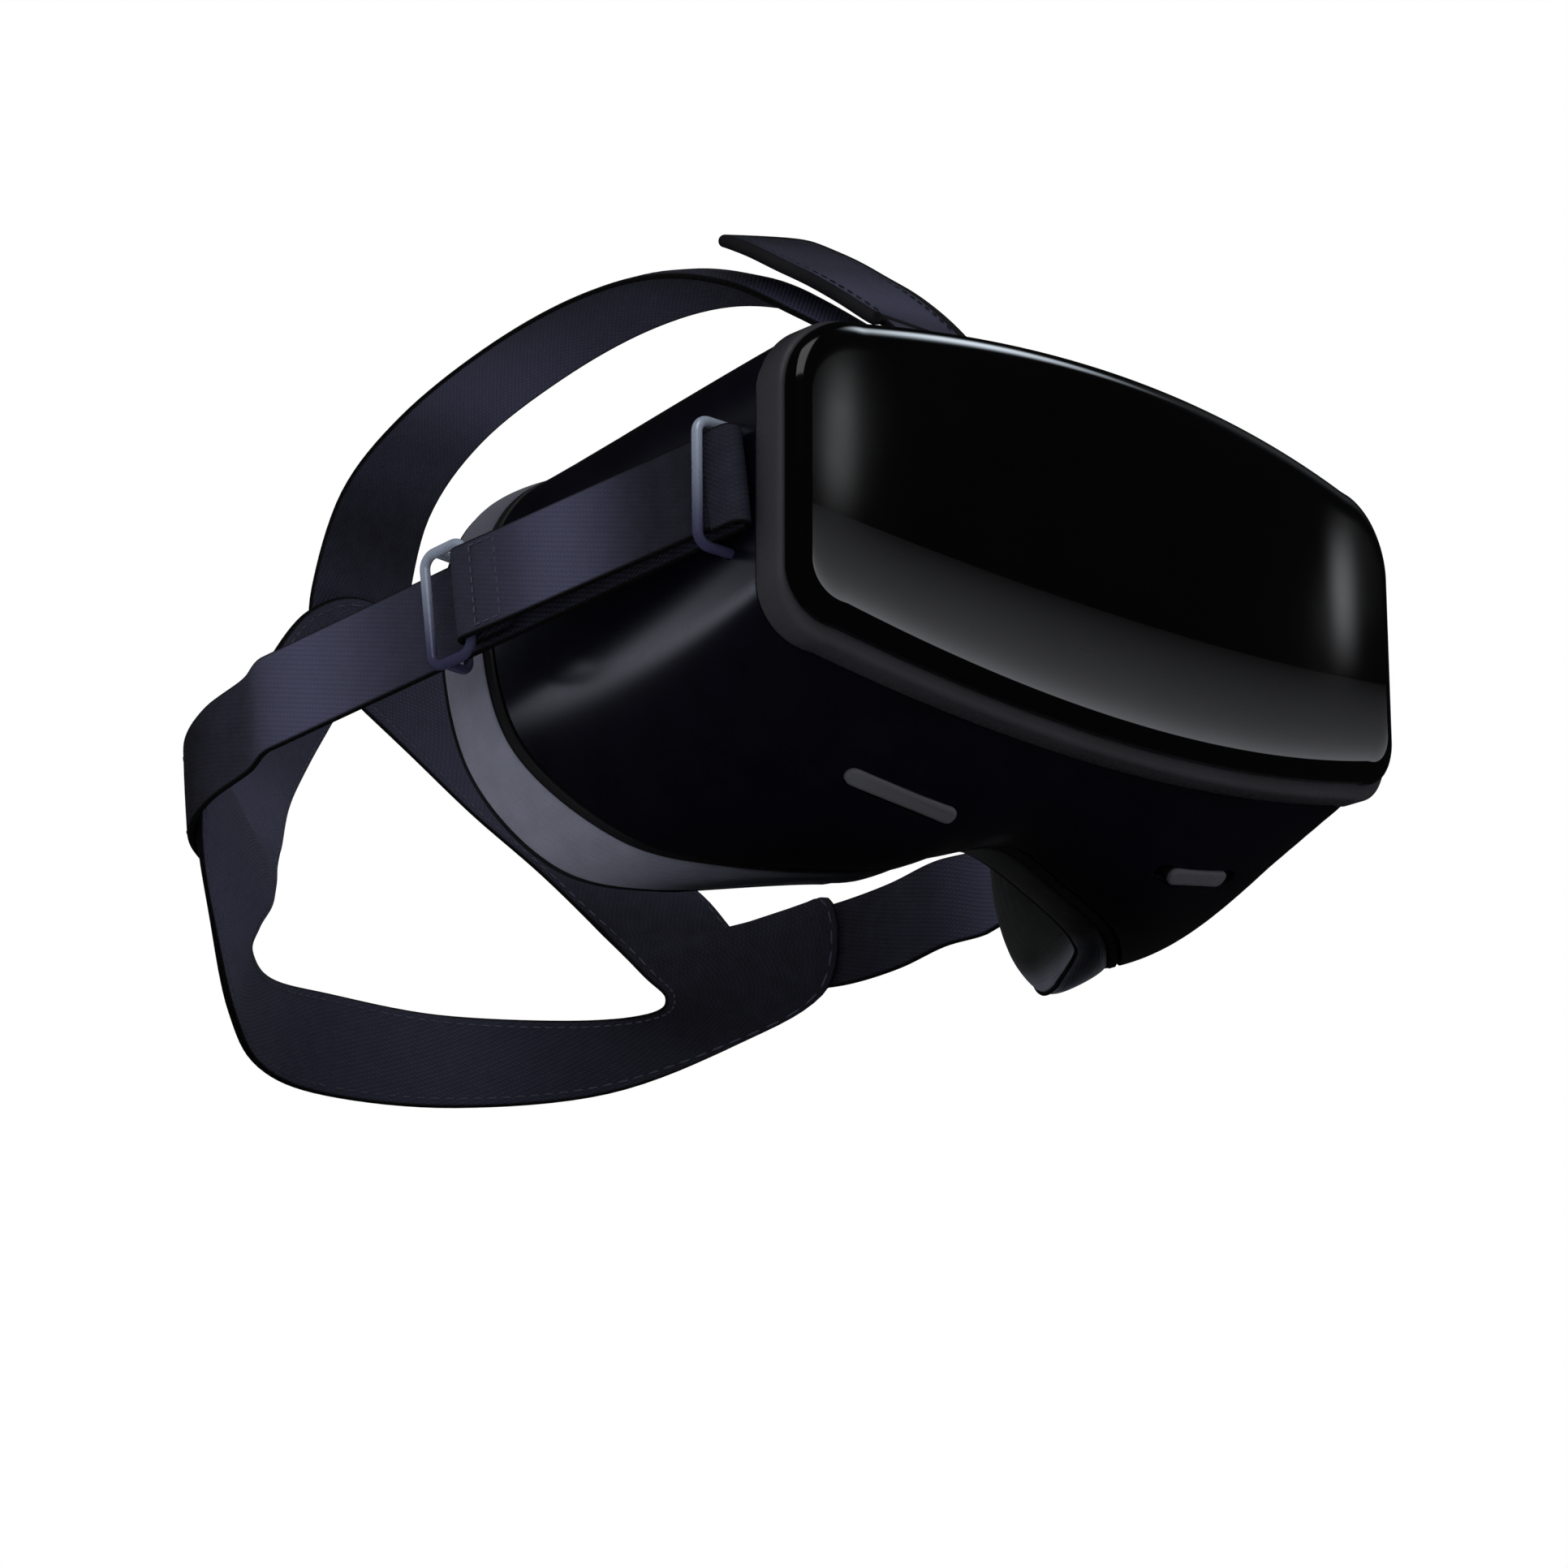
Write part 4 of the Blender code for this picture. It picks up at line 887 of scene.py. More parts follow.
def cushion():
    seat = shifted(whole_ring(REAR_EDGE), SEAT_GAP + FACE_FRAME_THICKNESS + GAP)
    lip = whole_ring(CUSHION_EDGE)
    rows = [inset_ring([a.lerp(b, share) for a, b in zip(seat, lip)], inset, 6)
            for share, inset, side in CUSHION_PROFILE]
    count = len(seat)
    verts = [point for row in rows for point in row]
    # Grey only on the outside, and not over the nose or the middle of the brow; elsewhere the
    # near-black is painted shade.
    sides = [side * min(max((abs(point.x) - 32.0) / 10.0, 0.0), 1.0)
             for row, (share, inset, side) in zip(rows, CUSHION_PROFILE) for point in row]
    lengths = [0.0]
    for i in range(count):
        lengths.append(lengths[-1] + (seat[(i + 1) % count] - seat[i]).length)
    row_height = 2.6
    uvs = [[(near, low), (far, low), (far, high), (near, high)]
           for low, high in ((r * row_height, (r + 1) * row_height) for r in range(len(rows)))
           for near, far in zip(lengths, lengths[1:])]
    made = piece("face_pad", verts, ring_faces(len(rows), count, True), KNIT,
                 {"painted_shading": [cushion_painted_shading(point) for point in verts], "side": sides}, uvs, sharp=None)
    puff(made, count, len(rows))
    settle(made)
    step = made.modifiers.new("fine", "SUBSURF")
    step.levels = step.render_levels = 1
    applied(made)
    settle(made)
    made.data.shade_smooth()
    fit(made, "face_interface", "face_cushion")
    for name, row, radius in (("pad_piping", LIP_SEAM, 0.55), ("pad_seat_piping", 0, 0.7)):
        path = [Vector((p.x, p.y, max(p.z, GROUND + radius))) for p in rows[row]]
        pipe = ring_piece(name, tube_rings(path, radius, 10, True), DARK_THREAD, closed=True)
        fit(pipe, "face_interface")


def cushion_painted_shading(point):
    """Painted light and shade: paler below, darker towards the top of the cushion."""
    return 0.12 + 0.88 * min(max((10.0 - point.z) / 26.0, 0.0), 1.0)


def settle(made):
    """Keep the cushion's lobes flat where they rest on the ground."""
    for vertex in made.data.vertices:
        vertex.co.z = max(vertex.co.z, 0.0001)


def puff(made, count, rows):
    """Inflate the cover with a short cloth simulation, held at its seat and lip seams."""
    rest = [vertex.co.copy() for vertex in made.data.vertices]
    copy = bpy.data.objects.new("puff", made.data.copy())
    SCENE.collection.objects.link(copy)
    held = copy.vertex_groups.new(name="held")
    seams = [0, LIP_SEAM, rows - 1, rows - 2, rows - 3]
    held.add([row * count + i for row in seams for i in range(count)], 1.0, "REPLACE")
    step = copy.modifiers.new("cloth", "CLOTH")
    for key, value in {"quality": 4, "mass": 0.2, "tension_stiffness": 12,
                       "compression_stiffness": 12, "bending_stiffness": 0.4, "use_pressure": True,
                       "uniform_pressure_force": 4.0, "vertex_group_mass": "held"}.items():
        setattr(step.settings, key, value)
    step.settings.effector_weights.gravity = 0.0
    step.collision_settings.use_collision = False
    step.point_cache.frame_start = 1
    step.point_cache.frame_end = PUFF_FRAMES
    for number in range(1, PUFF_FRAMES + 1):
        SCENE.frame_set(number)
    graph = bpy.context.evaluated_depsgraph_get()
    moved = copy.evaluated_get(graph).data.vertices
    for index, vertex in enumerate(made.data.vertices):
        push = moved[index].co - rest[index]
        if push.length > PUFF_CAP * MM:
            push = push.normalized() * PUFF_CAP * MM
        if push.length > 0:
            vertex.co = rest[index] + push
    SCENE.frame_set(1)
    bpy.data.objects.remove(copy, do_unlink=True)


# ---------------------------------------------------------------- webbing

def strap_axes():
    """Away from the head, and up across the side strap's width."""
    outward = Vector((STRAP_DIRECTION.y, -STRAP_DIRECTION.x, 0)).normalized()
    return outward, outward.cross(STRAP_DIRECTION).normalized()


def strap_point(along, offset, height, sign):
    """A point by its place along the side strap, away from the head and up."""
    outward, upward = strap_axes()
    point = STRAP_START + STRAP_DIRECTION * along + outward * offset + upward * height
    return Vector((point.x * sign, point.y, point.z))


def web_edges(stations, half, sign):
    return [(strap_point(along, offset, -half, sign), strap_point(along, offset, half, sign))
            for along, offset in stations]


def fold_stations(centre, radius, start_angle, end_angle, steps):
    angles = [math.radians(start_angle + (end_angle - start_angle) * k / steps)
              for k in range(steps + 1)]
    return [(centre[0] + radius * math.cos(angle), centre[1] + radius * math.sin(angle))
            for angle in angles]


# Half cross-section of webbing: share of the half width, share of the half thickness.
WEB_PROFILE = ((-1.0, 0.0), (-0.985, 0.62), (-0.955, 0.95), (-0.90, 1.0), (-0.7, 1.04),
               (-0.35, 1.1), (0.0, 1.12), (0.35, 1.1), (0.7, 1.04), (0.90, 1.0), (0.955, 0.95),
               (0.985, 0.62), (1.0, 0.0))
WEB_SECTION = [*WEB_PROFILE, *((u, -w) for u, w in WEB_PROFILE[-2:0:-1])]


def frames_of(edges, closed=False):
    """Middle, half-width vector and normal of each pair of edge points."""
    count = len(edges)
    found = []
    for i, (first, second) in enumerate(edges):
        before = edges[i - 1] if closed or i else edges[0]
        after = edges[(i + 1) % count] if closed or i < count - 1 else edges[-1]
        along = (after[0] + after[1]) - (before[0] + before[1])
        normal = along.cross(second - first).normalized()
        found.append(((first + second) / 2, (second - first) / 2, normal))
    return found


def lengths_of(frames):
    lengths = [0.0]
    for first, second in zip(frames, frames[1:]):
        lengths.append(lengths[-1] + (second[0] - first[0]).length)
    return lengths


def strip_uvs(widths, lengths, capped):
    """Across and along a strip in millimetres, for each corner of each face."""
    sides = [(a[0], b[0]) for a, b in zip(WEB_SECTION, WEB_SECTION[1:] + WEB_SECTION[:1])]
    uvs = [[(u0 * width, near), (u1 * width, near), (u1 * width, far), (u0 * width, far)]
           for width, near, far in zip(widths, lengths, lengths[1:]) for u0, u1 in sides]
    if capped:
        uvs += [[(u * 5, w) for u, w in WEB_SECTION]] * 2
    return uvs


def ribbon(name, edges, thickness, painted_shading_stops, body="headset", node=None, closed=False,
           bow=((0, 0), (1, 0))):
    """A crowned strip of webbing with round selvedges, between pairs of edge points, with painted
    light and shade along it.
    """
    frames = frames_of(edges, closed)
    lengths = lengths_of(frames + frames[:1] if closed else frames)
    verts, rim, painted_shading = [], [], []
    for (middle, half, normal), length in zip(frames, lengths):
        share = length / lengths[-1]
        arch = ramp(bow, share)
        for u, w in WEB_SECTION:
            verts.append(middle + half * u + normal * (w * thickness / 2 + arch * (1 - u * u)))
            rim.append((1 - abs(u)) * half.length)
        # Painted light and shade, set along the strip by its stops.
        painted_shading += [ramp(painted_shading_stops, share)] * len(WEB_SECTION)
    faces = ring_faces(len(frames), len(WEB_SECTION), closed)
    uvs = strip_uvs([half.length for middle, half, normal in frames], lengths, not closed)
    made = piece(name, verts, faces, WEB, {"rim": rim, "painted_shading": painted_shading}, uvs, sharp=50)
    if body:
        fit(made, body, node)
    return made


def ramp(stops, share):
    """Smooth value between (share, value) stops."""
    for (low, first), (high, second) in zip(stops, stops[1:]):
        if share <= high:
            t = min(max((share - low) / max(high - low, 1e-9), 0.0), 1.0)
            return first + (second - first) * t * t * (3 - 2 * t)
    return stops[-1][1]


def add_stitch(verts, faces, start, end, normal, radius=0.24):
    """One short thread, lying on the cloth from start to end."""
    run = (end - start).normalized()
    side = run.cross(normal).normalized()
    base, sides = len(verts), 6
    shape = ((0.0, 0.35), (0.2, 0.9), (0.8, 0.9), (1.0, 0.35))
    for share, size in shape:
        for k in range(sides):
            angle = 2 * math.pi * k / sides
            verts.append(start.lerp(end, share) + (side * math.cos(angle)
                         + normal * 0.8 * math.sin(angle)) * radius * size)
    faces += [tuple(base + i for i in face) for face in ring_faces(len(shape), sides, False)]


def stitch_rows(name, edges, thickness, body, closed=False, inset=2.0, side=1, pitch=3.4,
                length=2.3, span=(0.0, 1.0), material=THREAD):
    """Two rows of running stitch beside the selvedges, on one face of a strip."""
    frames = frames_of(edges, closed)
    if closed:
        frames = frames + [frames[0]]
    lengths = lengths_of(frames)
    verts, faces = [], []
    for row in (-1, 1):
        at = lengths[-1] * span[0] + pitch / 2
        index = 0
        while at + length < lengths[-1] * span[1]:
            ends = []
            for spot in (at, at + length):
                while index < len(lengths) - 2 and lengths[index + 1] < spot:
                    index += 1
                t = (spot - lengths[index]) / max(lengths[index + 1] - lengths[index], 1e-6)
                middle, half, normal = (a.lerp(b, t)
                                        for a, b in zip(frames[index], frames[index + 1]))
                normal.normalize()
                reach = half * (row * (1 - inset / half.length))
                ends.append(middle + reach + normal * side * (thickness / 2 * 1.03))
                if len(ends) == 1:
                    up = normal * side
            add_stitch(verts, faces, *ends, up)
            at += pitch
    fit(piece(name, verts, faces, material, sharp=None), body)


def finer(stations, spacing=3.0):
    """Add stations on the straight runs, so that a strip can bend and shade evenly."""
    result = [stations[0]]
    for first, second in zip(stations, stations[1:]):
        gap = math.dist(first, second)
        steps = max(1, round(gap / spacing))
        for k in range(1, steps + 1):
            result.append(tuple(a + (b - a) * k / steps for a, b in zip(first, second)))
    return result


def side_straps():
    """From the outer layer's start, through the ring and back to the cradle."""
    inner = [(4.9, LAYER_OFFSET)] + fold_stations((0.0, 0.0), LAYER_OFFSET, 90, 270, 18)
    inner += finer([(0.5, -LAYER_OFFSET), (STRAP_STRAIGHT, -LAYER_OFFSET)])
    for name, sign in SIDES:
        edges = web_edges(inner, SIDE_WEB_HALF, sign)
        edges += strap_tail(edges[-1], sign)
        # The stops below are painted light and shade along the strap.
        ribbon(f"inner_web_{name}", edges, WEB_THICKNESS,
               ((0, 0.1), (0.40, 0.12), (0.48, 0.35), (0.64, 1.0), (0.78, 0.15), (0.88, 0.0),
                (1.0, 0.0)), node=f"side_strap_{name}")
        stitch_rows(f"tail_stitches_{name}", edges, WEB_THICKNESS, "headset", span=(0.915, 0.995),
                    side=outer_face(edges, -3, sign), inset=1.6, pitch=2.8, length=1.9)


def outer_face(edges, index, sign):
    """1 where the strip's normal points away from the head, or else -1."""
    return 1 if frames_of(edges)[index][2].x * sign > 0 else -1


def strap_tail(last, sign):
    """From the straight run, round onto the outside of the cradle, where it is sewn."""
    outside = ((106.6, 162.0, -20.6, 11.5), (105.6, 177.0, -23.2, 11.5),
               (101.4, 190.0, -25.6, 11.2), (94.2, 199.6, -27.6, 10.4),
               (84.6, 206.2, -30.4, 9.6))
    pairs = web_edges([(STRAP_STRAIGHT - 14, -LAYER_OFFSET)], SIDE_WEB_HALF, sign) + [last]
    for x, y, z, half in outside:
        tilt = Vector((0, 0.13, 1.0)).normalized() * half
        point = Vector((x * sign, y, z))
        pairs.append((point - tilt, point + tilt))
    return smooth_pairs(pairs, 8)[9:]


def outer_layers():
    """Returned layers, each hemmed round its buckle's front bar."""
    bar = BUCKLE_FRONT
    top = BUCKLE_OFFSET + HEM_RADIUS
    foot = BUCKLE_OFFSET - HEM_RADIUS
    run = finer([(5.0, LAYER_OFFSET), (12.0, LAYER_OFFSET + 0.3), (bar - 12, top - 0.7)])
    run += fold_stations((bar, BUCKLE_OFFSET), HEM_RADIUS, 90, -90, 14)
    run += [(bar - 2.0, foot + 0.05), (bar - 10, foot + 0.2)]
    for name, sign in SIDES:
        slider = f"strap_slider_{name}"
        edges = web_edges(run, OUTER_WEB_HALF, sign)
        # The stops below are painted light and shade along the layer.
        made = ribbon(f"outer_web_{name}", edges, WEB_THICKNESS,
                      ((0, 0.0), (0.16, 0.05), (0.48, 0.9), (0.68, 0.4), (0.8, 0.25), (1.0, 0.1)),
                      body=None)
        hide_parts(f"outer_strap_{name}")
        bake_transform(made)
        seam = web_edges([(bar - 11.5, top - 0.65), (bar - 3.0, top)], OUTER_WEB_HALF, sign)
        stitch_rows(f"hem_stitches_{name}", seam, WEB_THICKNESS, slider,
                    side=outer_face(edges, 4, sign), inset=1.6, pitch=2.4, length=1.7)
        verts, faces = [], []
        outward = flipped([strap_axes()[0]], sign)[0]
        for k in range(8):
            low = -9.0 + 2.35 * k
            for along, sunk in ((bar - 10.8, 0.62), (bar - 4.2, 0.06)):
                offset = top + WEB_THICKNESS * 0.53 - sunk
                add_stitch(verts, faces, strap_point(along, offset, low, sign),
                           strap_point(along, offset, low + 1.6, sign), outward)
        fit(piece(f"hem_tack_{name}", verts, faces, THREAD, sharp=None), slider)


def wire(name, corners, body, node=None, bend=3.0, radius=WIRE_RADIUS, closed=False):
    """A bent wire, whose painted reflection follows its height."""
    rings = tube_rings(rounded_path(corners, bend, closed), radius, closed=closed)
    heights = [point.z for ring in rings for point in ring]
    low, high = min(heights), max(heights)
    made = ring_piece(name, rings, WIRE, closed=closed,
                      attributes={"height": [(z - low) / (high - low) for z in heights]})
    fit(made, body, node)


def wires():
    half = SIDE_WEB_HALF + 0.5 + WIRE_RADIUS
    behind = -LAYER_OFFSET - WEB_THICKNESS / 2 - 0.5 - WIRE_RADIUS
    for name, sign in SIDES:
        top, foot = (strap_point(RING_ALONG, RING_OFFSET, height, sign)
                     for height in (RING_HALF, -RING_HALF))
        corners = [(x, RING_Y, z) for x, z in ((sign * 84.5, top.z), (top.x, top.z),
                                               (foot.x, foot.z), (sign * 84.5, foot.z))]
        wire(f"wire_ring_{name}", corners, "headset", f"strap_ring_{name}")
        corners = [strap_point(along, BUCKLE_OFFSET, height, sign) for along, height in
                   ((BUCKLE_FRONT, -half), (BUCKLE_FRONT, half), (BUCKLE_REAR, half),
                    (BUCKLE_REAR, -half))]
        slider = f"strap_slider_{name}"
        wire(f"wire_buckle_{name}", corners, slider, f"strap_buckle_{name}", closed=True)
        corners = [strap_point(BUCKLE_REAR - 3.5, offset, height, sign) for offset, height in
                   ((BUCKLE_OFFSET, half), (behind, half), (behind, -half), (BUCKLE_OFFSET, -half))]
        wire(f"wire_keeper_{name}", corners, slider, bend=2.5, radius=WIRE_RADIUS * 0.93)


# ---------------------------------------------------------------- cradle and top strap

def rear_cradle():
    knots = list(CRADLE_HALF) + [flipped(pair, -1) for pair in CRADLE_HALF[-2:0:-1]]
    edges = smooth_pairs(knots, 8, closed_path)
    # The stops below are painted light and shade round the cradle.
    ribbon("cradle_web", edges, CRADLE_THICKNESS,
           ((0, 0.30), (0.06, 0.35), (0.13, 0.15), (0.2, 0.0), (0.28, 0.05), (0.38, 0.5),
            (0.5, 0.3), (0.62, 0.5), (0.70, 0.9), (0.76, 0.7), (0.82, 0.9), (0.9, 0.5), (1.0, 0.30)),
           node="rear_cradle", closed=True)
    for name, side in (("outer", 1), ("inner", -1)):
        stitch_rows(f"cradle_stitches_{name}", edges, CRADLE_THICKNESS * 1.02, "headset",
                    closed=True, side=side, inset=2.2)


def level_edges(knots, steps):
    """Edge points of a strip that lies level across, through (y, z, half width, ...) knots."""
    path = smooth_path([(0, knot[0], knot[1]) for knot in knots], steps)
    widths = smooth_path([(knot[2], 0, 0) for knot in knots], steps)
    return [(point - Vector((width.x, 0, 0)), point + Vector((width.x, 0, 0)))
            for point, width in zip(path, widths)]


def top_webs():
    edges = level_edges(TOP_STRAP, 8)
    # The stops below are painted light and shade along the top strap.
    ribbon("top_web", edges, WEB_THICKNESS,
           ((0, 0.35), (0.12, 0.05), (0.2, 0.35), (0.30, 1.0), (0.46, 0.5), (0.64, 0.15),
            (0.8, 1.0), (1.0, 0.35)), node="top_strap", bow=TOP_BOW)
    stitch_rows("top_web_stitches", edges, WEB_THICKNESS, "headset", span=(0.005, 0.055), inset=1.8,
                pitch=2.8, length=1.9)
    edges = level_edges([(y, z, TOP_WEB_HALF) for y, z in TOP_RETURN], 6)
    # Its stops are painted light and shade along the return layer.
    ribbon("top_return_web", edges, WEB_THICKNESS, ((0, 0.15), (1, 0.5)), node="top_strap_return")


def flap():
    """Folded-back end: a padded tongue with a thick dark binding and a round tip."""
    edges = level_edges(TOP_FLAP, 10)
    count = len(edges)
    for i, (first, second) in enumerate(edges):
        rise = Vector((0, 0, FLAP_ROLL * (i / (count - 1)) ** 0.4))
        edges[i] = (first - rise, second + rise)
    thicknesses = smooth_path([(0, thick, 0) for y, z, half, thick in TOP_FLAP], 10)
    frames = frames_of(edges)
    lengths = lengths_of(frames)
    tip = 3.0
    verts, rim, painted_shading = [], [], []
    for (centre, half, normal), size, length in zip(frames, thicknesses, lengths):
        left = lengths[-1] - length
        taper = 1.0 if left > tip else math.sqrt(max(1 - ((tip - left) / tip) ** 2, 0.05))
        for u, w in WEB_SECTION:
            verts.append(centre + half * u + normal * (w * size.y * 0.86 / 2 * taper))
            rim.append(min((1 - abs(u)) * half.length, left) * 0.55)
        # Painted light and shade along the flap.
        painted_shading += [ramp(((0, 0.6), (0.22, 1.0), (0.6, 0.5), (1.0, 0.15)),
                      length / lengths[-1])] * len(WEB_SECTION)
    made = piece("flap_web", verts, ring_faces(count, len(WEB_SECTION), False), WEB_FLAP,
                 {"rim": rim, "painted_shading": painted_shading}, strip_uvs([14] * count, lengths, True), sharp=50)
    fit(made, "strap_flap", "top_flap")
    rims = [[centre + half * side for centre, half, normal in frames] for side in (-1, 1)]
    path = rounded_tip(rims[0] + rims[1][::-1], count)
    root = [Vector((x, *FLAP_HINGE)) for x in (-TOP_FLAP[0][2], TOP_FLAP[0][2])]
    for name, path, radius, sides in (("flap_binding", path, 1.55, 16),
                                      ("flap_root_seam", root, 1.25, 24)):
        roll = ring_piece(name, tube_rings(path, radius, sides), DARK_THREAD)
        fit(roll, "strap_flap")
    seam = [(centre - half * 0.82, centre + half * 0.82) for centre, half, normal in frames]
    upper = 1 if frames[count // 2][2].z > 0 else -1
    stitch_rows("flap_stitches", seam, 2.75, "strap_flap", side=upper, inset=0.4,
                span=(0.04, 0.9), material=DARK_THREAD)


def rounded_tip(path, count):
    """Round the two corners at the flap's tip."""
    smooth = path[:]
    for _ in range(6):
        for i in range(count - 8, count + 8):
            smooth[i] = (smooth[i - 1] + smooth[i] * 2 + smooth[i + 1]) / 4
    return smooth


# ---------------------------------------------------------------- optics and inner parts

def optics():
    """Ribbed eye tubes and their domed lenses."""
    outer, inner, seat, dome_steps = 22.0, 20.2, 37.3, 14
    tube = [(outer - 0.3, 17.0), (outer, 17.3)]
    for k in range(8):
        y = 20.0 + 2.6 * k
        tube += [(outer, y), (outer - 0.35, y + 0.3), (outer - 0.35, y + 0.9), (outer, y + 1.2)]
    tube += [(outer, 42.6), (outer - 0.3, 43.0), (inner + 0.4, 43.0), (inner, 42.6), (inner, 37.0),
             (inner - 1, 36.5), (inner - 1, 17.0)]
    radius = inner - GAP
    shares = [k / dome_steps for k in range(dome_steps + 1)]
    dome = [(radius * (0.01 + 0.99 * share), seat + 5.4 - 3.2 * share ** 2) for share in shares]
    dome += [(radius, seat + 0.4), (radius - 1.5, seat), (radius * 0.02, seat)]
    radii = [r for r, y in dome for _ in range(TURN_STEPS)]
    for name, sign in SIDES:
        centre = (sign * EYE, 0)
        made = turned(f"eye_tube_{name}", centre, tube[::-1], PLASTIC, closed=True)
        fit(made, f"{name}_carriage", f"lens_barrel_{name}")
        made = turned(f"eye_lens_{name}", centre, dome, LENS, attributes={"radius": radii})
        fit(made, f"{name}_carriage", f"lens_{name}")


# CAD nodes that stay in view: material, edge rounding and names.
CARRIED = (
    (LINER, 0.5, "lens_shroud"), (MAGNESIUM, 0.3, "chassis_plate"), (BOARD, 0.2, "mainboard"),
    (POUCH, 1.6, "battery"), (COPPER, 0.25, "heat_spreader"), (PLASTIC, 0.25, "fan_housing"),
    (PLASTIC, 0.1, "fan_rotor"), (PLASTIC, 0.8, "speaker_left speaker_right"),
    (GLASS, 0.6, "proximity_sensor"), (STEEL, 0.25, "usb_port"),
    (STEEL, 0.4, "ring_retainer_left ring_retainer_right"),
    (STEEL, 0.2, "fold_pin_left fold_pin_right pinion_axle"), (ACETAL, 0.1, "ipd_pinion"),
    (ACETAL, 0.12, "rack_left rack_right"), (DISPLAY, 0.3, "display_left display_right"),
    (PLASTIC, 0.9, "top_anchor"),
    (STEEL, 0.15, "chassis_screw_1 chassis_screw_2 chassis_screw_3 chassis_screw_4"),
)


def carried_nodes():
    for material, width, names in CARRIED:
        for name in names.split():
            made = NODES[name]
            made.data.materials.clear()
            made.data.materials.append(material)
            bevel(made, width, 40)


def small_parts():
    """Packages on the mainboard, and the battery's folded seam and tabs."""
    board_face = 4.8
    blocks = [((x - wide / 2, board_face - 0.05, z - tall / 2),
               (x + wide / 2, board_face + high, z + tall / 2)) for x, z, wide, tall, high in
              ((-66, 14, 9, 9, 1.2), (-66, -13, 7, 10, 1.0), (-2.5, 14, 6, 7, 1.2),
               (-2.5, 3, 5, 4, 0.9), (-2.5, -10, 6, 8, 1.3), (-40, 21.5, 3, 2, 0.8),
               (-30, 21.5, 3, 2, 0.8), (-20, 21.5, 3, 2, 0.8), (-40, -20.5, 3, 2, 0.8),
               (-25, -20.5, 4, 2, 0.8))]
    boxes("board_packages", blocks, PLASTIC)
    boxes("battery_seam", [((10, 7.4, 23.0), (68, 7.9, 24.4)), ((5.2, 4.4, -14), (6.3, 5.4, -6)),
                           ((5.2, 4.4, 6), (6.3, 5.4, 14))], POUCH)


def boxes(name, blocks, material):
    sides = ((0, 1, 3, 2), (4, 6, 7, 5), (0, 4, 5, 1), (2, 3, 7, 6), (0, 2, 6, 4), (1, 5, 7, 3))
    verts, faces = [], []
    for low, high in blocks:
        faces += [tuple(len(verts) + i for i in side) for side in sides]
        verts += [Vector((x, y, z)) for x in (low[0], high[0]) for y in (low[1], high[1])
                  for z in (low[2], high[2])]
    made = piece(name, verts, faces, material, smooth=False)
    bevel(made, 0.2)
    fit(made, "headset")


# ---------------------------------------------------------------- stage and light

def aimed(name, data, location, way):
    """An object whose local Z points along way."""
    made = bpy.data.objects.new(name, data)
    made.location = location
    made.rotation_euler = Vector(way).to_track_quat("Z", "Y").to_euler()
    SCENE.collection.objects.link(made)
    return made


def camera():
    SCENE.view_settings.view_transform = "Standard"
    a, e = CAMERA_AZIMUTH, CAMERA_ELEVATION
    back = Vector((math.sin(a) * math.cos(e), -math.cos(a) * math.cos(e), math.sin(e)))
    data = bpy.data.cameras.new("camera")
    data.lens = CAMERA_LENS
    data.sensor_width = 36.0
    data.clip_start = 0.01
    SCENE.camera = aimed("camera", data, ZERO + CAMERA_AIM + back * CAMERA_DISTANCE, back)
    return SCENE.camera


def world():
    """White behind the object, even soft light on it, and little for gloss to mirror."""
    made = bpy.data.worlds.new("studio")
    SCENE.world = made
    net = Nodes(made, clear=True)

    def sky(colour, strength):
        inputs = {"Color": colour, "Strength": strength}
        return net.node("ShaderNodeBackground", inputs).outputs[0]

    path = net.node("ShaderNodeLightPath")
    soft = (0.95, 0.97, 1.0)
    lit = net.node("ShaderNodeMixShader", {0: path.outputs["Is Glossy Ray"],
                                           1: sky(soft, WORLD_DIFFUSE), 2: sky(soft, WORLD_GLOSSY)})
    seen = net.node("ShaderNodeMixShader", {0: path.outputs["Is Camera Ray"], 1: lit.outputs[0],
                                            2: sky((1, 1, 1), 1.0)})
    net.node("ShaderNodeOutputWorld", {0: seen.outputs[0]})


def floor():
    """Pale ground seen from above only; from below it doesn't hide the headset."""
    size, depth = 3.0, -0.0006
    mesh = bpy.data.meshes.new("floor")
    mesh.from_pydata([(x * size, y * size, depth) for x, y in ((-1, -1), (1, -1), (1, 1), (-1, 1))],
                     [], [(0, 1, 2, 3)])
    net = Net("pale_floor", 0.9)
    net.set(Base_Color=net.mix(net.noise(6.0, 3.0), (0.80, 0.80, 0.80), (0.84, 0.84, 0.84)))
    path = net.node("ShaderNodeLightPath")
    side = net.node("ShaderNodeNewGeometry")
    clear = net.node("ShaderNodeBsdfTransparent")
    unseen = net.maths("MAXIMUM", path.outputs["Is Shadow Ray"], path.outputs["Is Glossy Ray"])
    hidden = net.maths("MAXIMUM", unseen, side.outputs["Backfacing"])
    blend = net.node("ShaderNodeMixShader", {0: hidden, 1: net.shader.outputs[0],
                                             2: clear.outputs[0]})
    net.feed(net.tree.nodes["Material Output"].inputs[0], blend.outputs[0])
    mesh.materials.append(net.material)
    made = bpy.data.objects.new("floor", mesh)
    SCENE.collection.objects.link(made)


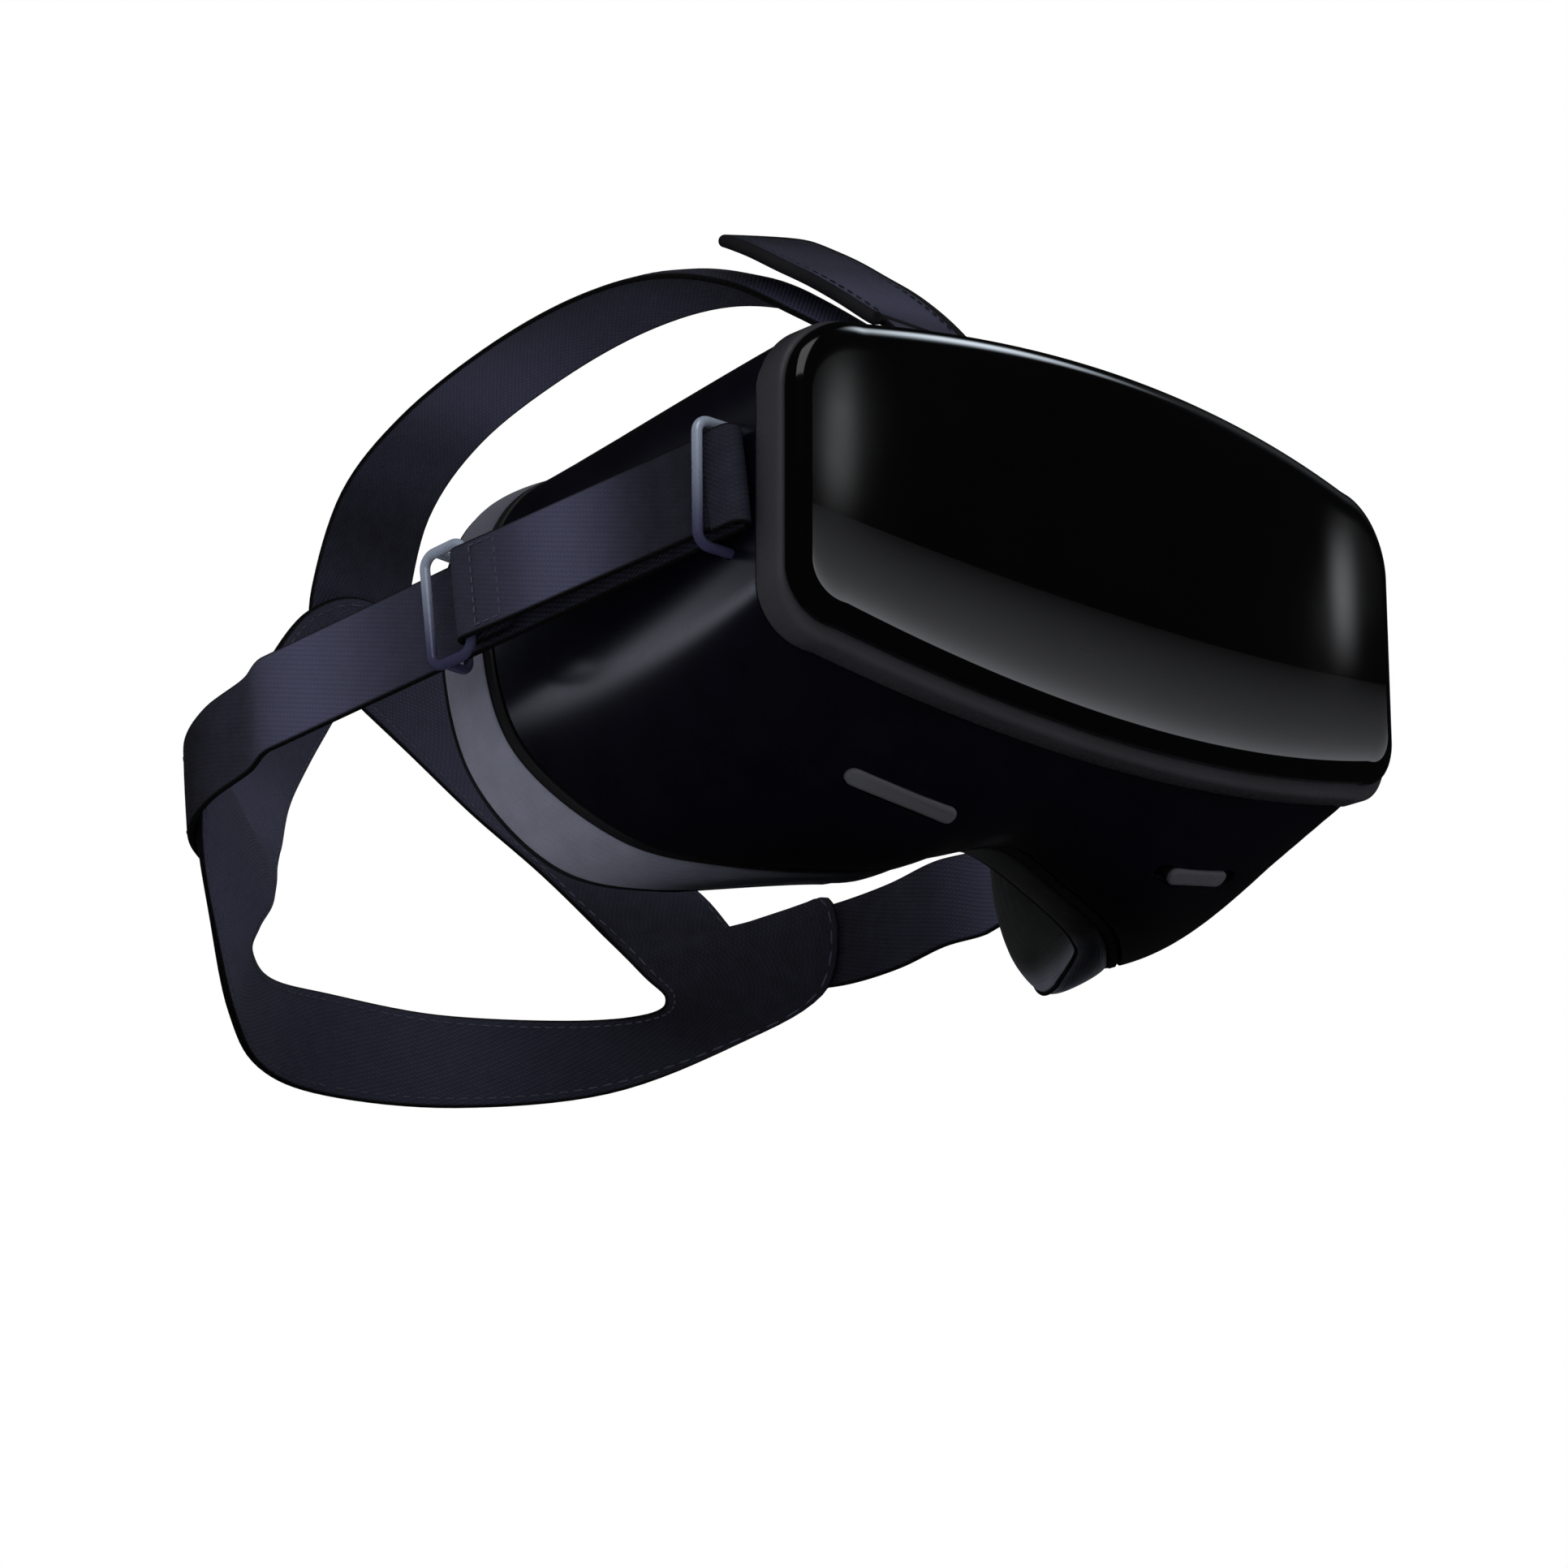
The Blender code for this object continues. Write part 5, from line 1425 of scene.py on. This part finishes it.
def glow_material(name, strength, colour):
    """Light that is strongest in a card's middle and fades to nothing at its edges."""
    material = bpy.data.materials.new(name)
    net = Nodes(material, clear=True)
    where = net.node("ShaderNodeTexCoord").outputs["Object"]
    parts = net.node("ShaderNodeSeparateXYZ", {0: where})
    fades = [net.step(net.maths("ABSOLUTE", parts.outputs[axis]), 0.5, 0.02) for axis in (0, 1)]
    power = net.maths("MULTIPLY", net.maths("MULTIPLY", *fades), strength)
    light = net.node("ShaderNodeEmission", {0: colour, 1: power})
    clear = net.node("ShaderNodeBsdfTransparent")
    both = net.node("ShaderNodeAddShader", {0: light.outputs[0], 1: clear.outputs[0]})
    net.node("ShaderNodeOutputMaterial", {0: both.outputs[0]})
    return material


def glow(name, eye, spot, normal, size, strength, colour, receiver):
    """A soft card that the camera sees mirrored at one spot of one glossy piece, and nowhere else."""
    point = place(spot)
    way = mirrored(eye, point, normal)
    centre = point + way * CARD_DISTANCE
    work = bmesh.new()
    bmesh.ops.create_grid(work, x_segments=1, y_segments=1, size=0.5)
    mesh = bpy.data.meshes.new(name)
    work.to_mesh(mesh)
    work.free()
    mesh.materials.append(glow_material(name, strength, colour))
    made = aimed(name, mesh, centre, point - centre)
    made.scale = (*size, 1.0)
    made.visible_camera = made.visible_diffuse = False
    made.visible_shadow = made.visible_transmission = False
    group = bpy.data.collections.new(name + "_receivers")
    group.objects.link(receiver)
    made.light_linking.receiver_collection = group


def mirrored(eye, point, normal):
    """Direction a ray from eye takes after it mirrors at point."""
    view = (point - eye).normalized()
    return view - 2 * view.dot(normal) * normal


def glass_normal(x, tilt=0.0):
    """Outward normal of the visor's face at x, tilted up by tilt degrees on its rim."""
    slope = 2 * BULGE * x / HALF_WIDTH ** 2
    flat = Vector((slope, -1.0, 0.0)).normalized()
    a = math.radians(tilt)
    return (flat * math.cos(a) + Vector((0, 0, 1)) * math.sin(a)).normalized()


def on_glass(x, z, proud):
    return (x, bulge(x) - proud, z)


def lights(eye, glass, shell):
    white, sky, ice = (0.95, 0.97, 1.0), (0.80, 0.90, 1.0), (0.85, 0.92, 1.0)
    # Two narrow uprights that show as soft streaks at the ends of the visor.
    for name, x, z, power in (("streak_right", -80.5, 8.0, 1.8), ("streak_left", 71.0, 9.0, 1.3)):
        glow(name, eye, on_glass(x, z, GLASS_DOME), glass_normal(x), (0.040, 0.060), power, white,
             glass)
    # Cards above for the bright line along the visor's upper edge.
    for name, x, size, power, colour in (("rim_card", -60.0, (0.36, 0.36), 9.5, sky),
                                         ("rim_card_far", 45.0, (0.60, 0.34), 0.16, ice)):
        glow(name, eye, on_glass(x, 34.0, 1.9), glass_normal(x, 17.0), size, power, colour, glass)
    # Band along the lower shoulder of the housing.
    glow("shoulder_card", eye, (-89.4, 60.0, -27.0), Vector((-0.995, 0.03, -0.10)).normalized(),
         (2.2, 0.26), 1.7, (0.80, 0.84, 1.0), shell)
    middle = place((0, 60, 0))
    data = bpy.data.lights.new("key", "AREA")
    data.shape = "RECTANGLE"
    data.size = data.size_y = 0.9
    data.energy = 3.0
    data.specular_factor = 0.25
    centre = middle + Vector((-0.7, -0.9, 1.1))
    aimed("key", data, centre, centre - middle)


# ---------------------------------------------------------------- build

glass = visor_glass()
trim_frame()
shell, shell_surface = main_shell()
chin_bars(shell_surface)
power_key()
face_ring()
cushion()
side_straps()
outer_layers()
wires()
rear_cradle()
top_webs()
flap()
optics()
carried_nodes()
small_parts()
eye = camera()
world()
floor()
lights(eye.location.copy(), glass, shell)
